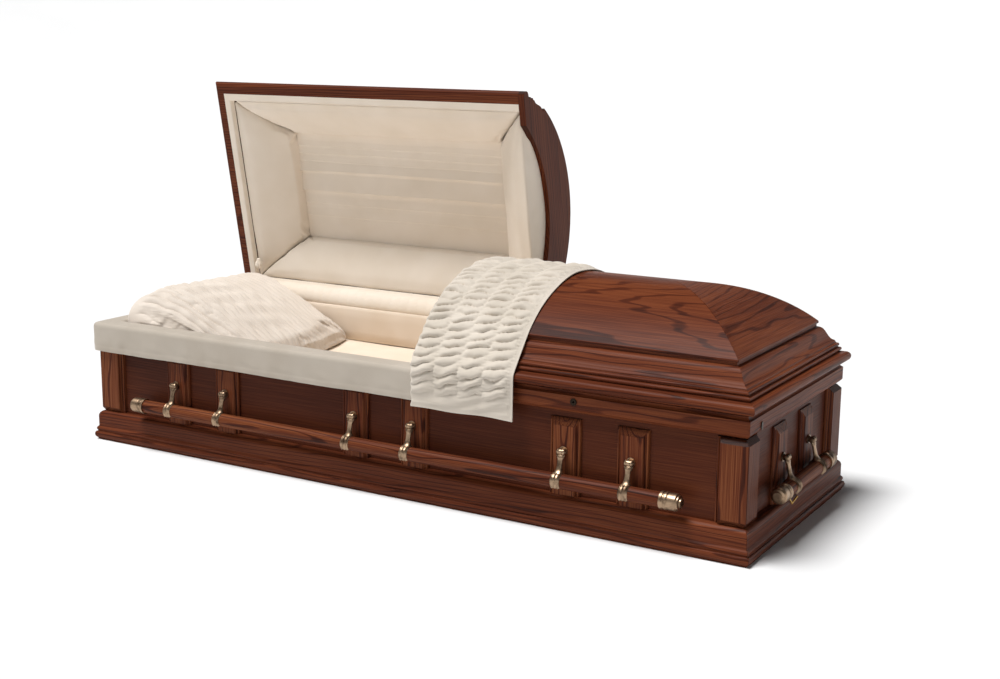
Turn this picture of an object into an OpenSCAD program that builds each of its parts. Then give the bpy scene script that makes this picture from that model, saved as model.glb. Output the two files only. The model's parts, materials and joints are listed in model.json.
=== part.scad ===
// Half-couch wooden casket. Millimetres.
// X runs from the head end (-) to the foot end (+), the front is towards -Y, and the underside
// lies at Z = 0 with the origin at its centre. The head lid is drawn standing open on its hinges.

/* [Case] */
// Length of the case over its wall boards
case_l = 2044; // [1700:2:2460]
// Width of the case over its wall boards
case_w = 656; // [540:2:790]
// Height of the case up to the top of its rails
case_h = 361; // [335:1:434]
// Thickness of the wall boards and of the bottom board
board_t = 20; // [16:1:24]
// Height of the ledge inside the long walls that carries the bed
ledge_h = 190; // [155:1:228]
// Width of that ledge
ledge_w = 12; // [8:1:16]

/* [Base moulding] */
// Height of the base moulding
base_h = 89; // [74:1:107]
// How far its foot stands out from the wall
base_foot_out = 31; // [26:1:37]
// How far its rounded nose stands out from the wall
base_nose_out = 38; // [32:1:45]
// How far its upright face stands out from the wall
base_face_out = 28; // [23:1:33]
// Radius of the round along its top edge
base_round_r = 17; // [14:1:20]

/* [Rail] */
// Height of the rail round the top of the case
rail_h = 53; // [44:1:64]
// How far the rail and the corner posts stand out from the wall
rail_out = 20; // [17:1:24]
// Height of the bevel under the rail
rail_bevel = 8; // [6:1:10]
// Radius of the cove along the top of the rail
rail_cove_r = 11; // [9:1:13]

/* [Posts and pilasters] */
// Width of each face of a corner post
post_w = 85; // [71:1:102]
// Open wall between the top of a post and the rail
post_gap = 5; // [4:1:8]
// Height of the bevels at the ends of a post
post_bevel = 13; // [11:1:16]
// Width of a pilaster
pilaster_w = 86; // [71:1:104]
// How far a pilaster stands out from the wall
pilaster_out = 15; // [12:1:18]
// Open wall between the top of a pilaster and the rail
pilaster_gap = 19; // [16:1:23]
// Height of the bevel at the top of a pilaster
pilaster_bevel = 20; // [16:1:24]
// Width of the moulded edge of a pilaster or a post
reed_w = 14; // [11:1:17]
// Thickness left at the very edge of a pilaster or a post
reed_edge = 4; // [3:0.5:5]
// Distance from the middle of the case to the centre pair of pilasters
pilaster_inner = 96; // [80:1:115]
// Distance from the middle of the case to the next pilasters
pilaster_middle = 552; // [460:1:560]
// Distance between that pilaster and the outermost one, centre to centre
pilaster_pair = 187; // [156:1:190]
// Distance from the middle of an end wall to its pilasters
pilaster_end = 97; // [81:1:116]

/* [Lids] */
// Overall height with both lids closed
total_h = 600; // [570:1:650]
// Gap between the case and the rim of a lid
lid_gap = 4.5; // [4:0.5:7]
// Distance from the middle of the case to the cut end of the head lid
split_x = 104; // [87:1:125]
// Gap between the two lids
split_gap = 14; // [13:1:17]
// How far the head lid stands open, in degrees
head_open = 79.5; // [70:0.5:85]
// Height of the lid rim from its underside to the drip edge of the crown
rim_h = 108.5; // [104:0.5:120]
// Width of the flat underside of the rim inside the wall line
rim_in = 20; // [16:1:24]
// How far the bullnose of the rim stands out from the wall line
nose_out = 35.5; // [31:0.5:42]
// Radius of the bullnose
nose_r = 13.5; // [12:0.5:15]
// How far the drip edge of the crown lies inside the wall line
crown_in = 37; // [32:1:44]
// Height of the upright drip edge of the crown
drip_h = 6; // [5:1:8]
// Thickness of the crown boards
crown_t = 14; // [12:1:17]
// Thickness of the arched header at each cut end
header_t = 20; // [17:1:24]
// Depth of wood left at the crest of a header
header_crest = 136; // [124:1:150]
// Distance from the crest of a header's opening to its springing at the rim, across half the lid
header_half = 265.5; // [250:0.5:275]

/* [Hinges] */
// Diameter of a hinge knuckle
knuckle_d = 9; // [8:0.5:10]
// Diameter of a hinge pin
pin_d = 4; // [3:0.5:5]
// Radial clearance round a pin
pin_clear = 0.05; // [0.03:0.01:0.08]
// Thickness of a hinge leaf
leaf_t = 2; // [1.5:0.1:2.2]
// Length of a hinge
hinge_l = 76; // [64:1:90]
// Distance from an end of a lid to the middle of its hinge
hinge_inset = 180; // [150:1:216]
// Gap between neighbouring knuckles
knuckle_gap = 0.5; // [0.4:0.1:0.8]

/* [Handles] */
// Diameter of a wooden handle bar
bar_d = 38; // [32:1:42]
// Height of a bar's centre line
bar_z = 134; // [128:1:150]
// Distance from the wall to a bar's centre line
bar_out = 44; // [42:1:52]
// Half the length of a long bar over its tips
bar_long = 889; // [800:1:895]
// Half the length of an end bar over its tips
bar_end = 205; // [175:1:240]
// Length of a metal tip
tip_l = 54; // [45:1:64]
// Diameter of a tip over its rings
tip_d = 45; // [44:1:47]
// Height of the handle pivots
pivot_z = 205; // [190:1:215]
// Distance from the face of a pilaster to the handle pivots
pivot_out = 12; // [12:1:15]
// Width of a clamp along its bar
clamp_w = 26; // [22:1:31]
// Wall of a clamp
clamp_t = 3.4; // [2.8:0.1:4]
// Diameter of the knuckles at a pivot
eye_d = 15; // [13:0.5:17]
// Diameter of a pivot pin
axle_d = 5; // [4:0.5:6]
// Radius of the round plate behind a pivot
plate_r = 12; // [10:1:14]

/* [Fittings] */
// Distance from the middle of the case to the lock
lock_x = 580; // [500:1:690]
// Radius of the lock's face
lock_r = 9; // [7.5:0.5:10.5]
// Radius of the key bore
key_bore_r = 2.5; // [2:0.1:3]
// Width of the cap on the foot rail
cap_w = 10; // [8:1:12]
// Height of the cap
cap_h = 21; // [18:1:25]
// Distance from the middle of the foot end to the cap
cap_y = 271; // [226:1:275]
// Thickness of the key's wire
key_d = 5; // [4:0.5:6]

/* [Lining] */
// Height of the top of the bed
bed_top = 250; // [235:1:300]
// Thickness of the lining inside the walls
lining_t = 12; // [10:1:14]
// Clearance round the soft pieces where they seat
seat = 0.3; // [0.2:0.05:0.5]
// Slope depth of the lid rolls from the side, measured inwards
roll_side = 127.7; // [106:0.1:150]
// Slope depth of the lid rolls from the end of a lid
roll_end = 163.7; // [137:0.1:196]
// Slope depth of the lid rolls from the cut end
roll_cut = 141; // [118:1:169]
// Height of the outer edge of the rolls above the underside of the rim
roll_low = 6.5; // [5:0.5:8]
// Rise of a roll from its outer to its inner edge
roll_rise = 103; // [86:1:110]
// Thickness of a roll at its outer edge
roll_t = 40; // [34:1:44]
// Height of the panel above the inner edge of the rolls
panel_up = 13; // [10:1:16]
// Thickness of the panel
panel_t = 12; // [10:1:14]
// Thickness of the gusset over the hinges
gusset_t = 4; // [3:0.5:5]

/* [Apron and throw] */
// Thickness of the apron where it hangs
apron_t = 10.5; // [9:0.5:12]
// Height of the lower hem of the apron
apron_z = 277; // [262:1:290]
// Distance from the middle of the case to the end of the apron under the throw
apron_x = 130; // [118:1:150]
// Width of the throw along the lid
throw_w = 309.5; // [258:0.5:371]
// Thickness of the throw
throw_t = 10; // [8:1:12]
// Height of the front hem of the throw
throw_z = 268; // [262:1:300]

/* [Hidden] */
half_l = case_l / 2;
half_w = case_w / 2;
inner_l = half_l - board_t;
inner_w = half_w - board_t;
reach = 72; // further out and in than any moulding, for the mitre cuts
$fn = 64;

// Lid levels and the arch of the crown, whose drip edge is the chord of the arch
rim_z = case_h + lid_gap;
crown_z = rim_z + rim_h;
spring_z = crown_z + drip_h;
crown_half = half_w - crown_in;
crown_rise = total_h - spring_z;
crown_r = (crown_half * crown_half + crown_rise * crown_rise) / (2 * crown_rise);
crown_cz = total_h - crown_r;
hip_x = half_l - crown_in - crown_half;

// Opening of a header: the circle through its crest and its springing points
opening_rise = total_h - header_crest - rim_z;
opening_r = (header_half * header_half + opening_rise * opening_rise) / (2 * opening_rise);
opening_cz = total_h - header_crest - opening_r;

// Hinge axis, level with the gap and above the outer face of the rail
hinge_y = half_w + rail_out;
hinge_z = rim_z - leaf_t;
knuckle_clear = 0.5;
foot_split_x = split_x + split_gap;

post_top = case_h - rail_h - post_gap;
pilaster_top = case_h - rail_h - pilaster_gap;
pilaster_outer = pilaster_middle + pilaster_pair;
long_places = [for (s = [-1, 1]) for (d = [pilaster_inner, pilaster_middle, pilaster_outer]) s * d];
end_places = [-pilaster_end, pilaster_end];

// Handle arm: its length and lean follow from the pivot and the bar
pivot_y = pilaster_out + pivot_out; // out from the wall
arm_l = norm([bar_out - pivot_y, pivot_z - bar_z]);
arm_lean = atan2(bar_out - pivot_y, pivot_z - bar_z);
ring_gap = 0.2;

wood = "#6E3B26";
wood_dark = "#5A2C1C";
bronze = "#4A382A";
cloth = "#E9E0D4";
cloth_warm = "#E3D2BF";

SIDES = ["front", "back", "foot", "head"];

// ---------- helpers ----------

// Points of an arc in a profile
function arc(c, r, a0, a1, n = 8) =
    [for (i = [0:n]) let (a = a0 + (a1 - a0) * i / n) [c[0] + r * cos(a), c[1] + r * sin(a)]];

// A smooth S from 0 to 1
function ogee(t) = t - sin(360 * t) / 9;

// Half the length of a side, from corner to corner of the walls
function side_half(side) = side == "front" || side == "back" ? half_l : half_w;

// Puts what is drawn outwards of a front wall at Y = 0 onto one side of the case
module on_side(side) {
    turn = side == "front" ? 0 : side == "back" ? 180 : side == "foot" ? 90 : -90;
    out = side == "front" || side == "back" ? half_w : half_l;
    rotate([0, 0, turn]) translate([0, -out, 0]) children();
}

// Draws a profile of [out, up] points along X from a to b, outwards being -Y
module along(profile, a, b) {
    translate([a, 0, 0]) rotate([90, 0, 90]) linear_extrude(b - a)
        polygon([for (p = profile) [-p[0], p[1]]]);
}

// A moulding along one side. Each end is mitred at the corner, or cut square at a given place.
module run(profile, half, a = undef, b = undef) {
    x0 = is_undef(a) ? -half - reach : a;
    x1 = is_undef(b) ? half + reach : b;
    left = is_undef(a) ? [[-half + reach, reach], [-half - reach, -reach]] : [[a, reach], [a, -reach]];
    right = is_undef(b) ? [[half + reach, -reach], [half - reach, reach]] : [[b, -reach], [b, reach]];
    intersection() {
        along(profile, x0, x1);
        linear_extrude(total_h) polygon(concat(left, right));
    }
}

// A rod between two points
module rod(p, q, d) {
    v = q - p;
    translate(p) rotate([0, acos(v[2] / norm(v)), atan2(v[1], v[0])]) cylinder(d = d, h = norm(v));
}

// ---------- case ----------

module bottom_board() color(wood_dark)
    translate([-inner_l, -inner_w, 0]) cube([2 * inner_l, 2 * inner_w, board_t]);

// Long wall with the ledge for the bed along its inside
module long_wall(side) color(wood) on_side(side) {
    translate([-half_l, 0, 0]) cube([2 * half_l, board_t, case_h]);
    translate([-inner_l, board_t, board_t]) cube([2 * inner_l, ledge_w, ledge_h - board_t]);
}

module end_wall(side) color(wood) on_side(side)
    translate([-inner_w, 0, 0]) cube([2 * inner_w, board_t, case_h]);

function base_profile() = let (nose_r = base_nose_out / 2 - 5, nose_x = base_nose_out - nose_r, bead_r = 7)
    concat(
        [[0, 0], [base_foot_out, 0]],
        arc([nose_x, nose_r + 1.5], nose_r, -60, 38),
        [[base_foot_out, nose_r * 1.72]],
        arc([base_foot_out - 4.5, nose_r * 2.36], bead_r, -48, 48),
        [[base_face_out, nose_r * 3], [base_face_out, base_h - base_round_r]],
        arc([base_face_out - base_round_r, base_h - base_round_r], base_round_r, 0, 90),
        [[0, base_h]]
    );

module base_moulding(side) color(wood) on_side(side) run(base_profile(), side_half(side));

function rail_profile() = let (z = case_h - rail_h, cove_x = rail_out + 3)
    concat(
        [[0, z], [rail_out - rail_bevel, z], [rail_out, z + rail_bevel]],
        arc([cove_x, case_h], rail_cove_r, 180 + acos(3 / rail_cove_r), 180),
        [[0, case_h]]
    );

module rail(side) color(wood) on_side(side) difference() {
    run(rail_profile(), side_half(side));
    if (side == "front")
        translate([lock_x, 0, lock_z]) rotate([90, 0, 0])
            cylinder(r = lock_barrel_r + lock_fit, h = rail_out + 1);
}

// Moulded edge of a pilaster or a post, a bead and an ogee: [in from the edge, out from the wall]
function reed(out) = let (bead_r = reed_w * 0.22) concat(
    [[0, 0], [0, reed_edge]],
    arc([reed_w * 0.28, reed_edge + bead_r / 2], bead_r, 170, 10, 6),
    [for (i = [0:5]) let (t = i / 5) [
        reed_w * (0.52 + 0.48 * t), reed_edge + (out - reed_edge) * (0.2 + 0.8 * ogee(t))
    ]]
);

module pilaster() intersection() {
    linear_extrude(pilaster_top) polygon(concat(
        [for (p = reed(pilaster_out)) [-pilaster_w / 2 + p[0], -p[1]]],
        [for (p = flip(reed(pilaster_out))) [pilaster_w / 2 - p[0], -p[1]]]
    ));
    along([
        [0, base_h], [pilaster_out, base_h], [pilaster_out, pilaster_top - pilaster_bevel],
        [reed_edge, pilaster_top], [0, pilaster_top]
    ], -pilaster_w, pilaster_w);
}

function flip(list) = [for (i = [len(list) - 1:-1:0]) list[i]];
function places(side) = side == "front" || side == "back" ? long_places : end_places;

module pilasters(side) color(wood) on_side(side)
    for (x = places(side)) translate([x, 0, 0]) pilaster();

// Corner post: an L in plan, with moulded edges and bevelled ends. Drawn at the front foot corner.
module post(sx, sy) color(wood) at_corner(sx, sy) {
    inset = post_w - rail_out;
    leg = reed(rail_out);
    profile = [
        [0, base_h], [rail_out - post_bevel * 0.6, base_h], [rail_out, base_h + post_bevel],
        [rail_out, post_top - post_bevel], [rail_out - post_bevel * 0.9, post_top], [0, post_top]
    ];
    corner = arc([rail_out - 5, -(rail_out - 5)], 5, -90, 0, 5);
    translate([half_l, -half_w, 0]) intersection() {
        linear_extrude(post_top) polygon(concat(
            [for (p = leg) [-inset + p[0], -p[1]]], corner,
            [for (p = flip(leg)) [p[1], inset - p[0]]], [[0, 0]]
        ));
        along(concat([[-post_w, base_h]], profile, [[-post_w, post_top]]), -post_w, rail_out + 1);
        rotate([0, 0, 90])
            along(concat([[-post_w, base_h]], profile, [[-post_w, post_top]]), -rail_out - 1, post_w);
    }
}

// Mirrors what is drawn at the front foot corner to the corner of the given signs
module at_corner(sx, sy) mirror([sx < 0 ? 1 : 0, 0, 0]) mirror([0, sy > 0 ? 1 : 0, 0]) children();

// ---------- lids, drawn closed for the foot end and cut square at x0 ----------

// Outline of the rim, [out, up]: bullnose, two beads, a fillet and an ogee rising to the crown
rim_bead_r = 5;
rim_beads = [[9.5, 35.5], [4, 47.5]]; // [out, above the underside] of their centres
rim_ogee_z = 60.5;

function rim_outline() = let (z = rim_z, nose_x = nose_out - nose_r, top = rim_h - 10) concat(
    [[nose_x, z]],
    arc([nose_x, z + nose_r], nose_r, -90, 90, 12),
    [[nose_x - 8, z + 2 * nose_r + 1.5]],
    arc([rim_beads[0][0], z + rim_beads[0][1]], rim_bead_r, -90, 90),
    arc([rim_beads[1][0], z + rim_beads[1][1]], rim_bead_r, -80, 90),
    [[1, z + 54], [1, z + 56.5]],
    [for (i = [0:8]) let (t = i / 8) [
        -2 - (crown_in - 4) * t, z + rim_ogee_z + (top - rim_ogee_z) * ogee(t)
    ]],
    [[-crown_in - 4, crown_z - 8], [-crown_in - 4, crown_z]]
);

function rim_profile() = concat(
    [[-rim_in, rim_z]], rim_outline(),
    [[-crown_in - 23, crown_z], [-crown_in - 23, crown_z - 11], [-rim_in, rim_z + 52.5]]
);

// Clearance in the rim round the knuckles of one hinge
module knuckle_cut(x) translate([x - hinge_l / 2 - 1, hinge_y, hinge_z])
    rotate([0, 90, 0]) cylinder(d = knuckle_d + 2 * knuckle_clear, h = hinge_l + 2);

module lid_rim(x0) difference() {
    union() {
        for (s = [0, 1]) mirror([0, s, 0])
            translate([0, -half_w, 0]) run(rim_profile(), half_l, a = x0 + header_t);
        on_side("foot") run(rim_profile(), half_w);
    }
    for (x = hinge_places(x0)) knuckle_cut(x);
}

function hinge_places(x0) = [x0 + hinge_inset, half_l - hinge_inset];

// Shell of the crown as a long barrel along X from a to b, down to its drip edge
module crown_barrel(a, b) translate([a, 0, crown_cz]) rotate([0, 90, 0]) difference() {
    cylinder(r = crown_r, h = b - a, $fn = 180);
    translate([0, 0, -1]) cylinder(r = crown_r - crown_t, h = b - a + 2, $fn = 180);
}

module lid_crown(x0) intersection() {
    crown_barrel(x0 + header_t, half_l);
    translate([0, 0, crown_z]) linear_extrude(total_h) polygon([
        [x0 + header_t, -crown_half], [hip_x + crown_half, -crown_half], [hip_x, 0],
        [hip_x + crown_half, crown_half], [x0 + header_t, crown_half]
    ]);
}

// Hipped end of the crown: the same arch turned across the lid
module lid_end() intersection() {
    translate([hip_x, 0, 0]) rotate([0, 0, 90]) crown_barrel(-crown_half, crown_half);
    translate([hip_x, 0, crown_z]) linear_extrude(total_h)
        polygon([[0, 0], [crown_half, -crown_half], [crown_half, crown_half]]);
}

// Arched board across the cut end, with the full outline of the lid
module lid_header(x0) difference() {
    union() {
        translate([x0, 0, 0]) rotate([90, 0, 90]) linear_extrude(header_t) polygon(concat(
            [for (p = rim_outline()) [half_w + p[0], p[1]]],
            [for (p = flip(rim_outline())) [-half_w - p[0], p[1]]]
        ));
        intersection() {
            translate([x0, 0, crown_cz]) rotate([0, 90, 0]) cylinder(r = crown_r, h = header_t, $fn = 180);
            translate([x0, -crown_half, crown_z]) cube([header_t, 2 * crown_half, total_h]);
        }
    }
    translate([x0 - 1, 0, opening_cz]) rotate([0, 90, 0])
        cylinder(r = opening_r, h = header_t + 2, $fn = 180);
}

// Section of a roll: [in from the face it seats on, up], rising over the given depth
function roll_profile(depth, back) = let (z = rim_z + roll_low) [
    [0, z], [depth, z + roll_rise], [depth, z + roll_rise + roll_t + 5], [0, back]
];
roll_back = rim_z + roll_low + roll_t;

// Plan of the inner edge of the four rolls of a lid cut at x0: [cut, end, side]
function well(x0) = [x0 + header_t + roll_cut, inner_l - seat - roll_end, inner_w - seat - roll_side];

module roll_side(x0) {
    w = well(x0);
    a = x0 + header_t + seat;
    y = inner_w - seat;
    intersection() {
        along([for (p = roll_profile(roll_side, roll_back)) [y - p[0], p[1]]], a, inner_l);
        linear_extrude(total_h) polygon([[a, -y], [inner_l - seat, -y], [w[1], -w[2]], [w[0], -w[2]]]);
    }
}

module roll_end(x0) {
    w = well(x0);
    x = inner_l - seat;
    y = inner_w - seat;
    intersection() {
        rotate([0, 0, 90]) along([for (p = roll_profile(roll_end, roll_back)) [x - p[0], p[1]]], -y, y);
        linear_extrude(total_h) polygon([[x, -y], [x, y], [w[1], w[2]], [w[1], -w[2]]]);
    }
}

// Roll behind the header: its back fills the arch, so it is trimmed to the inside of the crown
module roll_cut(x0) {
    w = well(x0);
    x = x0 + header_t + seat;
    y = inner_w - seat;
    crest = total_h - crown_t - 11;
    trim_rise = crest - roll_back;
    trim_r = (y * y + trim_rise * trim_rise) / (2 * trim_rise);
    back = roll_back + roll_rise + 5;
    intersection() {
        rotate([0, 0, 90]) along([for (p = roll_profile(w[0] - x, back)) [x + p[0], p[1]]], -y, y);
        linear_extrude(total_h) polygon([[x, -y], [x, y], [w[0], w[2]], [w[0], -w[2]]]);
        translate([x - 1, 0, crest - trim_r]) rotate([0, 90, 0])
            cylinder(r = trim_r, h = roll_cut + 2, $fn = 96);
    }
}

module lid_panel(x0, lap) {
    w = well(x0);
    translate([w[0] - lap, -w[2] - lap, rim_z + roll_low + roll_rise + panel_up])
        cube([w[1] - w[0] + 2 * lap, 2 * (w[2] + lap), panel_t]);
}

// Turns a closed head-end lid piece to where it stands open
module opened() translate([0, hinge_y, hinge_z]) rotate([-head_open, 0, 0])
    translate([0, -hinge_y, -hinge_z]) mirror([1, 0, 0]) children();

head_cut = -split_x;

// ---------- hinges ----------

// Lengths of a hinge along X taken by the lid's two knuckles and the case's middle one
function knuckle_span(on_lid) = let (third = hinge_l / 3, g = knuckle_gap / 2) on_lid
    ? [[-hinge_l / 2, -third / 2 - g], [third / 2 + g, hinge_l / 2]]
    : [[-third / 2 + g, third / 2 - g]];

module tube_x(spans, d) for (s = spans)
    translate([s[0], 0, 0]) rotate([0, 90, 0]) cylinder(d = d, h = s[1] - s[0]);

// A leaf with its knuckles round the axis. The lid's leaf carries the pin, the case's has the bore.
module leaf(on_lid) {
    inward = rail_out + board_t - 2;
    base = on_lid ? 0 : lid_leaf_gap - leaf_t;
    difference() {
        union() {
            difference() {
                translate([-hinge_l / 2, -inward, base]) cube([hinge_l, inward, leaf_t]);
                translate([-hinge_l / 2 - 1, 0, 0]) rotate([0, 90, 0])
                    cylinder(d = knuckle_d + 2 * knuckle_clear, h = hinge_l + 2);
            }
            for (s = knuckle_span(on_lid)) translate([s[0], -knuckle_d / 2 - 1, base])
                cube([s[1] - s[0], knuckle_d / 2, leaf_t]);
            tube_x(knuckle_span(on_lid), knuckle_d);
        }
        if (!on_lid) tube_x([[-hinge_l, hinge_l]], pin_d + 2 * pin_clear);
    }
    if (on_lid) tube_x([[-hinge_l / 2 + 1, hinge_l / 2 - 1]], pin_d);
}
lid_leaf_gap = case_h + leaf_t - hinge_z; // top of the case leaf, measured from the axis

module hinge_at(x) translate([x, hinge_y, hinge_z]) children();

module case_hinge_leaves() color(bronze) {
    for (x = hinge_places(head_cut)) hinge_at(-x) leaf(false);
    for (x = hinge_places(foot_split_x)) hinge_at(x) leaf(false);
}
module head_lid_leaves() color(bronze) opened() for (x = hinge_places(head_cut)) hinge_at(x) leaf(true);
module foot_lid_leaves() color(bronze) for (x = hinge_places(foot_split_x)) hinge_at(x) leaf(true);

// ---------- handles ----------

// Ears of an arm: from here to here, measured from the middle of the arm
ear_in = 4.9;
ear_out = 12;

// Round plate, neck and middle knuckle with its pin, standing on a pilaster
module lug() {
    translate([0, -pilaster_out, pivot_z]) rotate([90, 0, 0]) cylinder(r = plate_r, h = 3);
    translate([0, -pilaster_out, pivot_z]) rotate([90, 0, 0]) cylinder(r = plate_r - 4, h = 4.5);
    translate([0, -pilaster_out, pivot_z]) rotate([90, 0, 0]) cylinder(r = 4, h = pivot_out);
    translate([0, -pivot_y, pivot_z]) {
        tube_x([[-ear_in + 0.4, ear_in - 0.4]], eye_d);
        tube_x([[-ear_out - 1, ear_out + 1]], axle_d);
    }
}

module handle_lugs() color(bronze) for (side = SIDES) on_side(side)
    for (x = places(side)) translate([x, 0, 0]) lug();

// Arm with two ears on the pin and an open clamp round the bar, drawn straight down from the pivot
module arm() translate([0, -pivot_y, pivot_z]) rotate([-arm_lean, 0, 0]) {
    bar_r = bar_d / 2 + ring_gap;
    difference() {
        union() {
            tube_x([[-ear_out, -ear_in], [ear_in, ear_out]], eye_d);
            for (s = [-1, 1]) translate([s > 0 ? ear_in : -ear_out, -3.5, -eye_d / 2 - 6])
                cube([ear_out - ear_in, 7, eye_d / 2 + 6]);
        }
        tube_x([[-2 * ear_out, 2 * ear_out]], axle_d + 2 * pin_clear);
    }
    translate([-ear_out, -4, -eye_d / 2 - 7]) cube([2 * ear_out, 8, 6]);
    rotate([90, 0, 0]) linear_extrude(8, center = true) polygon([
        [-ear_out + 2, -eye_d / 2 - 6], [-4.5, -eye_d / 2 - 16], [-5.5, -arm_l + bar_r + 6],
        [-9, -arm_l + bar_r + 1], [9, -arm_l + bar_r + 1], [5.5, -arm_l + bar_r + 6],
        [4.5, -eye_d / 2 - 16], [ear_out - 2, -eye_d / 2 - 6]
    ]);
    translate([0, 0, -arm_l]) difference() {
        tube_x([[-clamp_w / 2, clamp_w / 2]], 2 * (bar_r + clamp_t));
        tube_x([[-clamp_w, clamp_w]], 2 * bar_r);
        rotate([90, 0, 90]) linear_extrude(2 * clamp_w, center = true)
            polygon([[0, 0], [-bar_d * 0.55, -bar_d], [bar_d, -bar_d], [bar_d, 0]]);
    }
}

module arms(side) color(bronze) on_side(side) for (x = places(side)) translate([x, 0, 0]) arm();

function bar_half(side) = side == "front" || side == "back" ? bar_long : bar_end;
tip_socket = tip_l - 19; // depth of the tip's socket over the bar

module bar(side) color(wood) on_side(side) translate([0, -bar_out, bar_z]) {
    h = bar_half(side) - tip_l + tip_socket - seat;
    tube_x([[-h, h]], bar_d);
}

// Turned tip: a socket with two rings, a plain barrel and a stepped end
module tip() {
    r = tip_d / 2;
    s = bar_d / 2 + ring_gap;
    rotate([0, 90, 0]) rotate_extrude() polygon([
        [s, 0], [r, 0], [r, 7], [r - 1.7, 8.5], [r - 1.7, 11], [r, 12.5], [r, 18], [r - 1.7, 20],
        [r - 0.9, 23], [r - 0.9, tip_l - 12], [r - 4.5, tip_l - 9], [r - 4.5, tip_l - 6],
        [r - 11, tip_l - 4], [r - 11, tip_l], [0, tip_l], [0, tip_socket], [s, tip_socket]
    ]);
}

module tips(side) color(bronze) on_side(side) for (s = [0, 1]) mirror([s, 0, 0])
    translate([bar_half(side) - tip_l, -bar_out, bar_z]) tip();

// ---------- fittings ----------

lock_z = case_h - 25;
lock_barrel_r = 7;
lock_fit = 0.2;

lock_face = 2.5;  // how far the lock's face stands out from the rail
key_bore_l = 10.5;

module lock() color("#2A211C") on_side("front") translate([lock_x, 0, lock_z]) rotate([90, 0, 0])
    difference() {
        union() {
            translate([0, 0, 2]) cylinder(r = lock_barrel_r, h = rail_out - 2);
            translate([0, 0, rail_out]) cylinder(r = lock_r, h = lock_face);
        }
        translate([0, 0, rail_out + lock_face - key_bore_l]) cylinder(r = key_bore_r, h = key_bore_l + 1);
    }

cap_z = case_h - 35.5;
cap_t = 2.5;

module rail_cap() color("#8C8C8A") on_side("foot") translate([-cap_y, -rail_out, cap_z]) rotate([90, 0, 0])
    linear_extrude(cap_t) {
        square([cap_w, cap_h - cap_w], center = true);
        for (s = [-1, 1]) translate([0, s * (cap_h - cap_w) / 2]) circle(d = cap_w);
    }

// Bent wire key, hooked under the foot bar
module casket_key() color("#B08A3C") on_side("foot") {
    out = bar_out + 4;
    top = bar_z - sqrt(pow(bar_d / 2, 2) - 16) - key_d / 2 - 2 * seat;
    points = [[-131, -out, top], [-106, -out, top - 20], [-70, -out, top - 12]];
    for (i = [0, 1]) rod(points[i], points[i + 1], key_d);
    for (p = points) translate(p) sphere(d = key_d + 0.6, $fn = 32);
}

// ---------- soft pieces ----------

module bed() color(cloth_warm) translate([-inner_l + seat, -inner_w + seat, ledge_h])
    cube([2 * (inner_l - seat), 2 * (inner_w - seat), bed_top - ledge_h]);

module side_lining() color(cloth_warm) difference() {
    x = inner_l - seat;
    y = inner_w - seat;
    translate([-x, -y, bed_top]) cube([2 * x, 2 * y, case_h - 3 - bed_top]);
    translate([-x + lining_t, -y + lining_t, bed_top - 1])
        cube([2 * (x - lining_t), 2 * (y - lining_t), case_h]);
}

module pillow() color(cloth) {
    x = -inner_l + seat + lining_t + 1;
    y = inner_w - seat - lining_t - 5;
    z = bed_top;
    translate([0, y, 0]) rotate([90, 0, 0]) linear_extrude(2 * y) polygon([
        [x, z], [x, case_h - 3], [x - 10, case_h + 8], [x - 12, case_h + 40], [x, case_h + 66],
        [x + 30, case_h + 84], [x + 65, case_h + 92], [x + 130, case_h + 84], [x + 290, case_h + 42],
        [x + 430, case_h - 5], [x + 495, case_h - 42], [x + 510, z + 40], [x + 490, z]
    ]);
}

// Padded strip that rolls round the hinge line, from the lining of the case to the open rim
module hinge_gusset() color(cloth) translate([-inner_l + seat + 16, hinge_y, hinge_z]) rotate([0, 90, 0]) {
    r = rail_out + board_t + 0.6;
    l = inner_l - seat - 16 + split_x - header_t - 1;
    far = 3 * r;
    intersection() {
        difference() {
            cylinder(r = r + gusset_t, h = l, $fn = 96);
            translate([0, 0, -1]) cylinder(r = r, h = l + 2, $fn = 96);
        }
        linear_extrude(l) polygon([
            [0, 0], [-far, far * sin(-3)], [-far, -far], [far * sin(6), -far]
        ]);
    }
}

apron_gap = 2.5; // between the rail and the hanging part of the apron
apron_top = rim_z - 0.7;

function apron_profile() = let (i = rail_out + apron_gap, o = i + apron_t, r = apron_t - 1) concat(
    [[-rim_in - 4, case_h + seat], [i, case_h + seat], [i, apron_z], [o - 2, apron_z], [o, apron_z + 2]],
    arc([o - r, apron_top - r], r, 0, 90),
    [[-rim_in - 4, apron_top]]
);

module apron() color(cloth) {
    on_side("front") run(apron_profile(), half_l, b = apron_x);
    on_side("head") run(apron_profile(), half_w, a = -half_w + 28);
}

// Outline of the throw over the lid, from the front hem to the back one, grown by t
throw_in = max(nose_out + 1, rail_out + apron_gap + apron_t + 3); // clears the nose and the apron
function throw_fall(t) = let (i = throw_in + t, z = crown_z + 9 + t * 0.5) [
    [-half_w - i, throw_z], [-half_w - i, rim_z + nose_r + 6 + t * 0.4], [-crown_half - 1 - t * 0.6, z]
];
throw_back = 7; // how far past the wall line the back of the throw reaches

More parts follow.
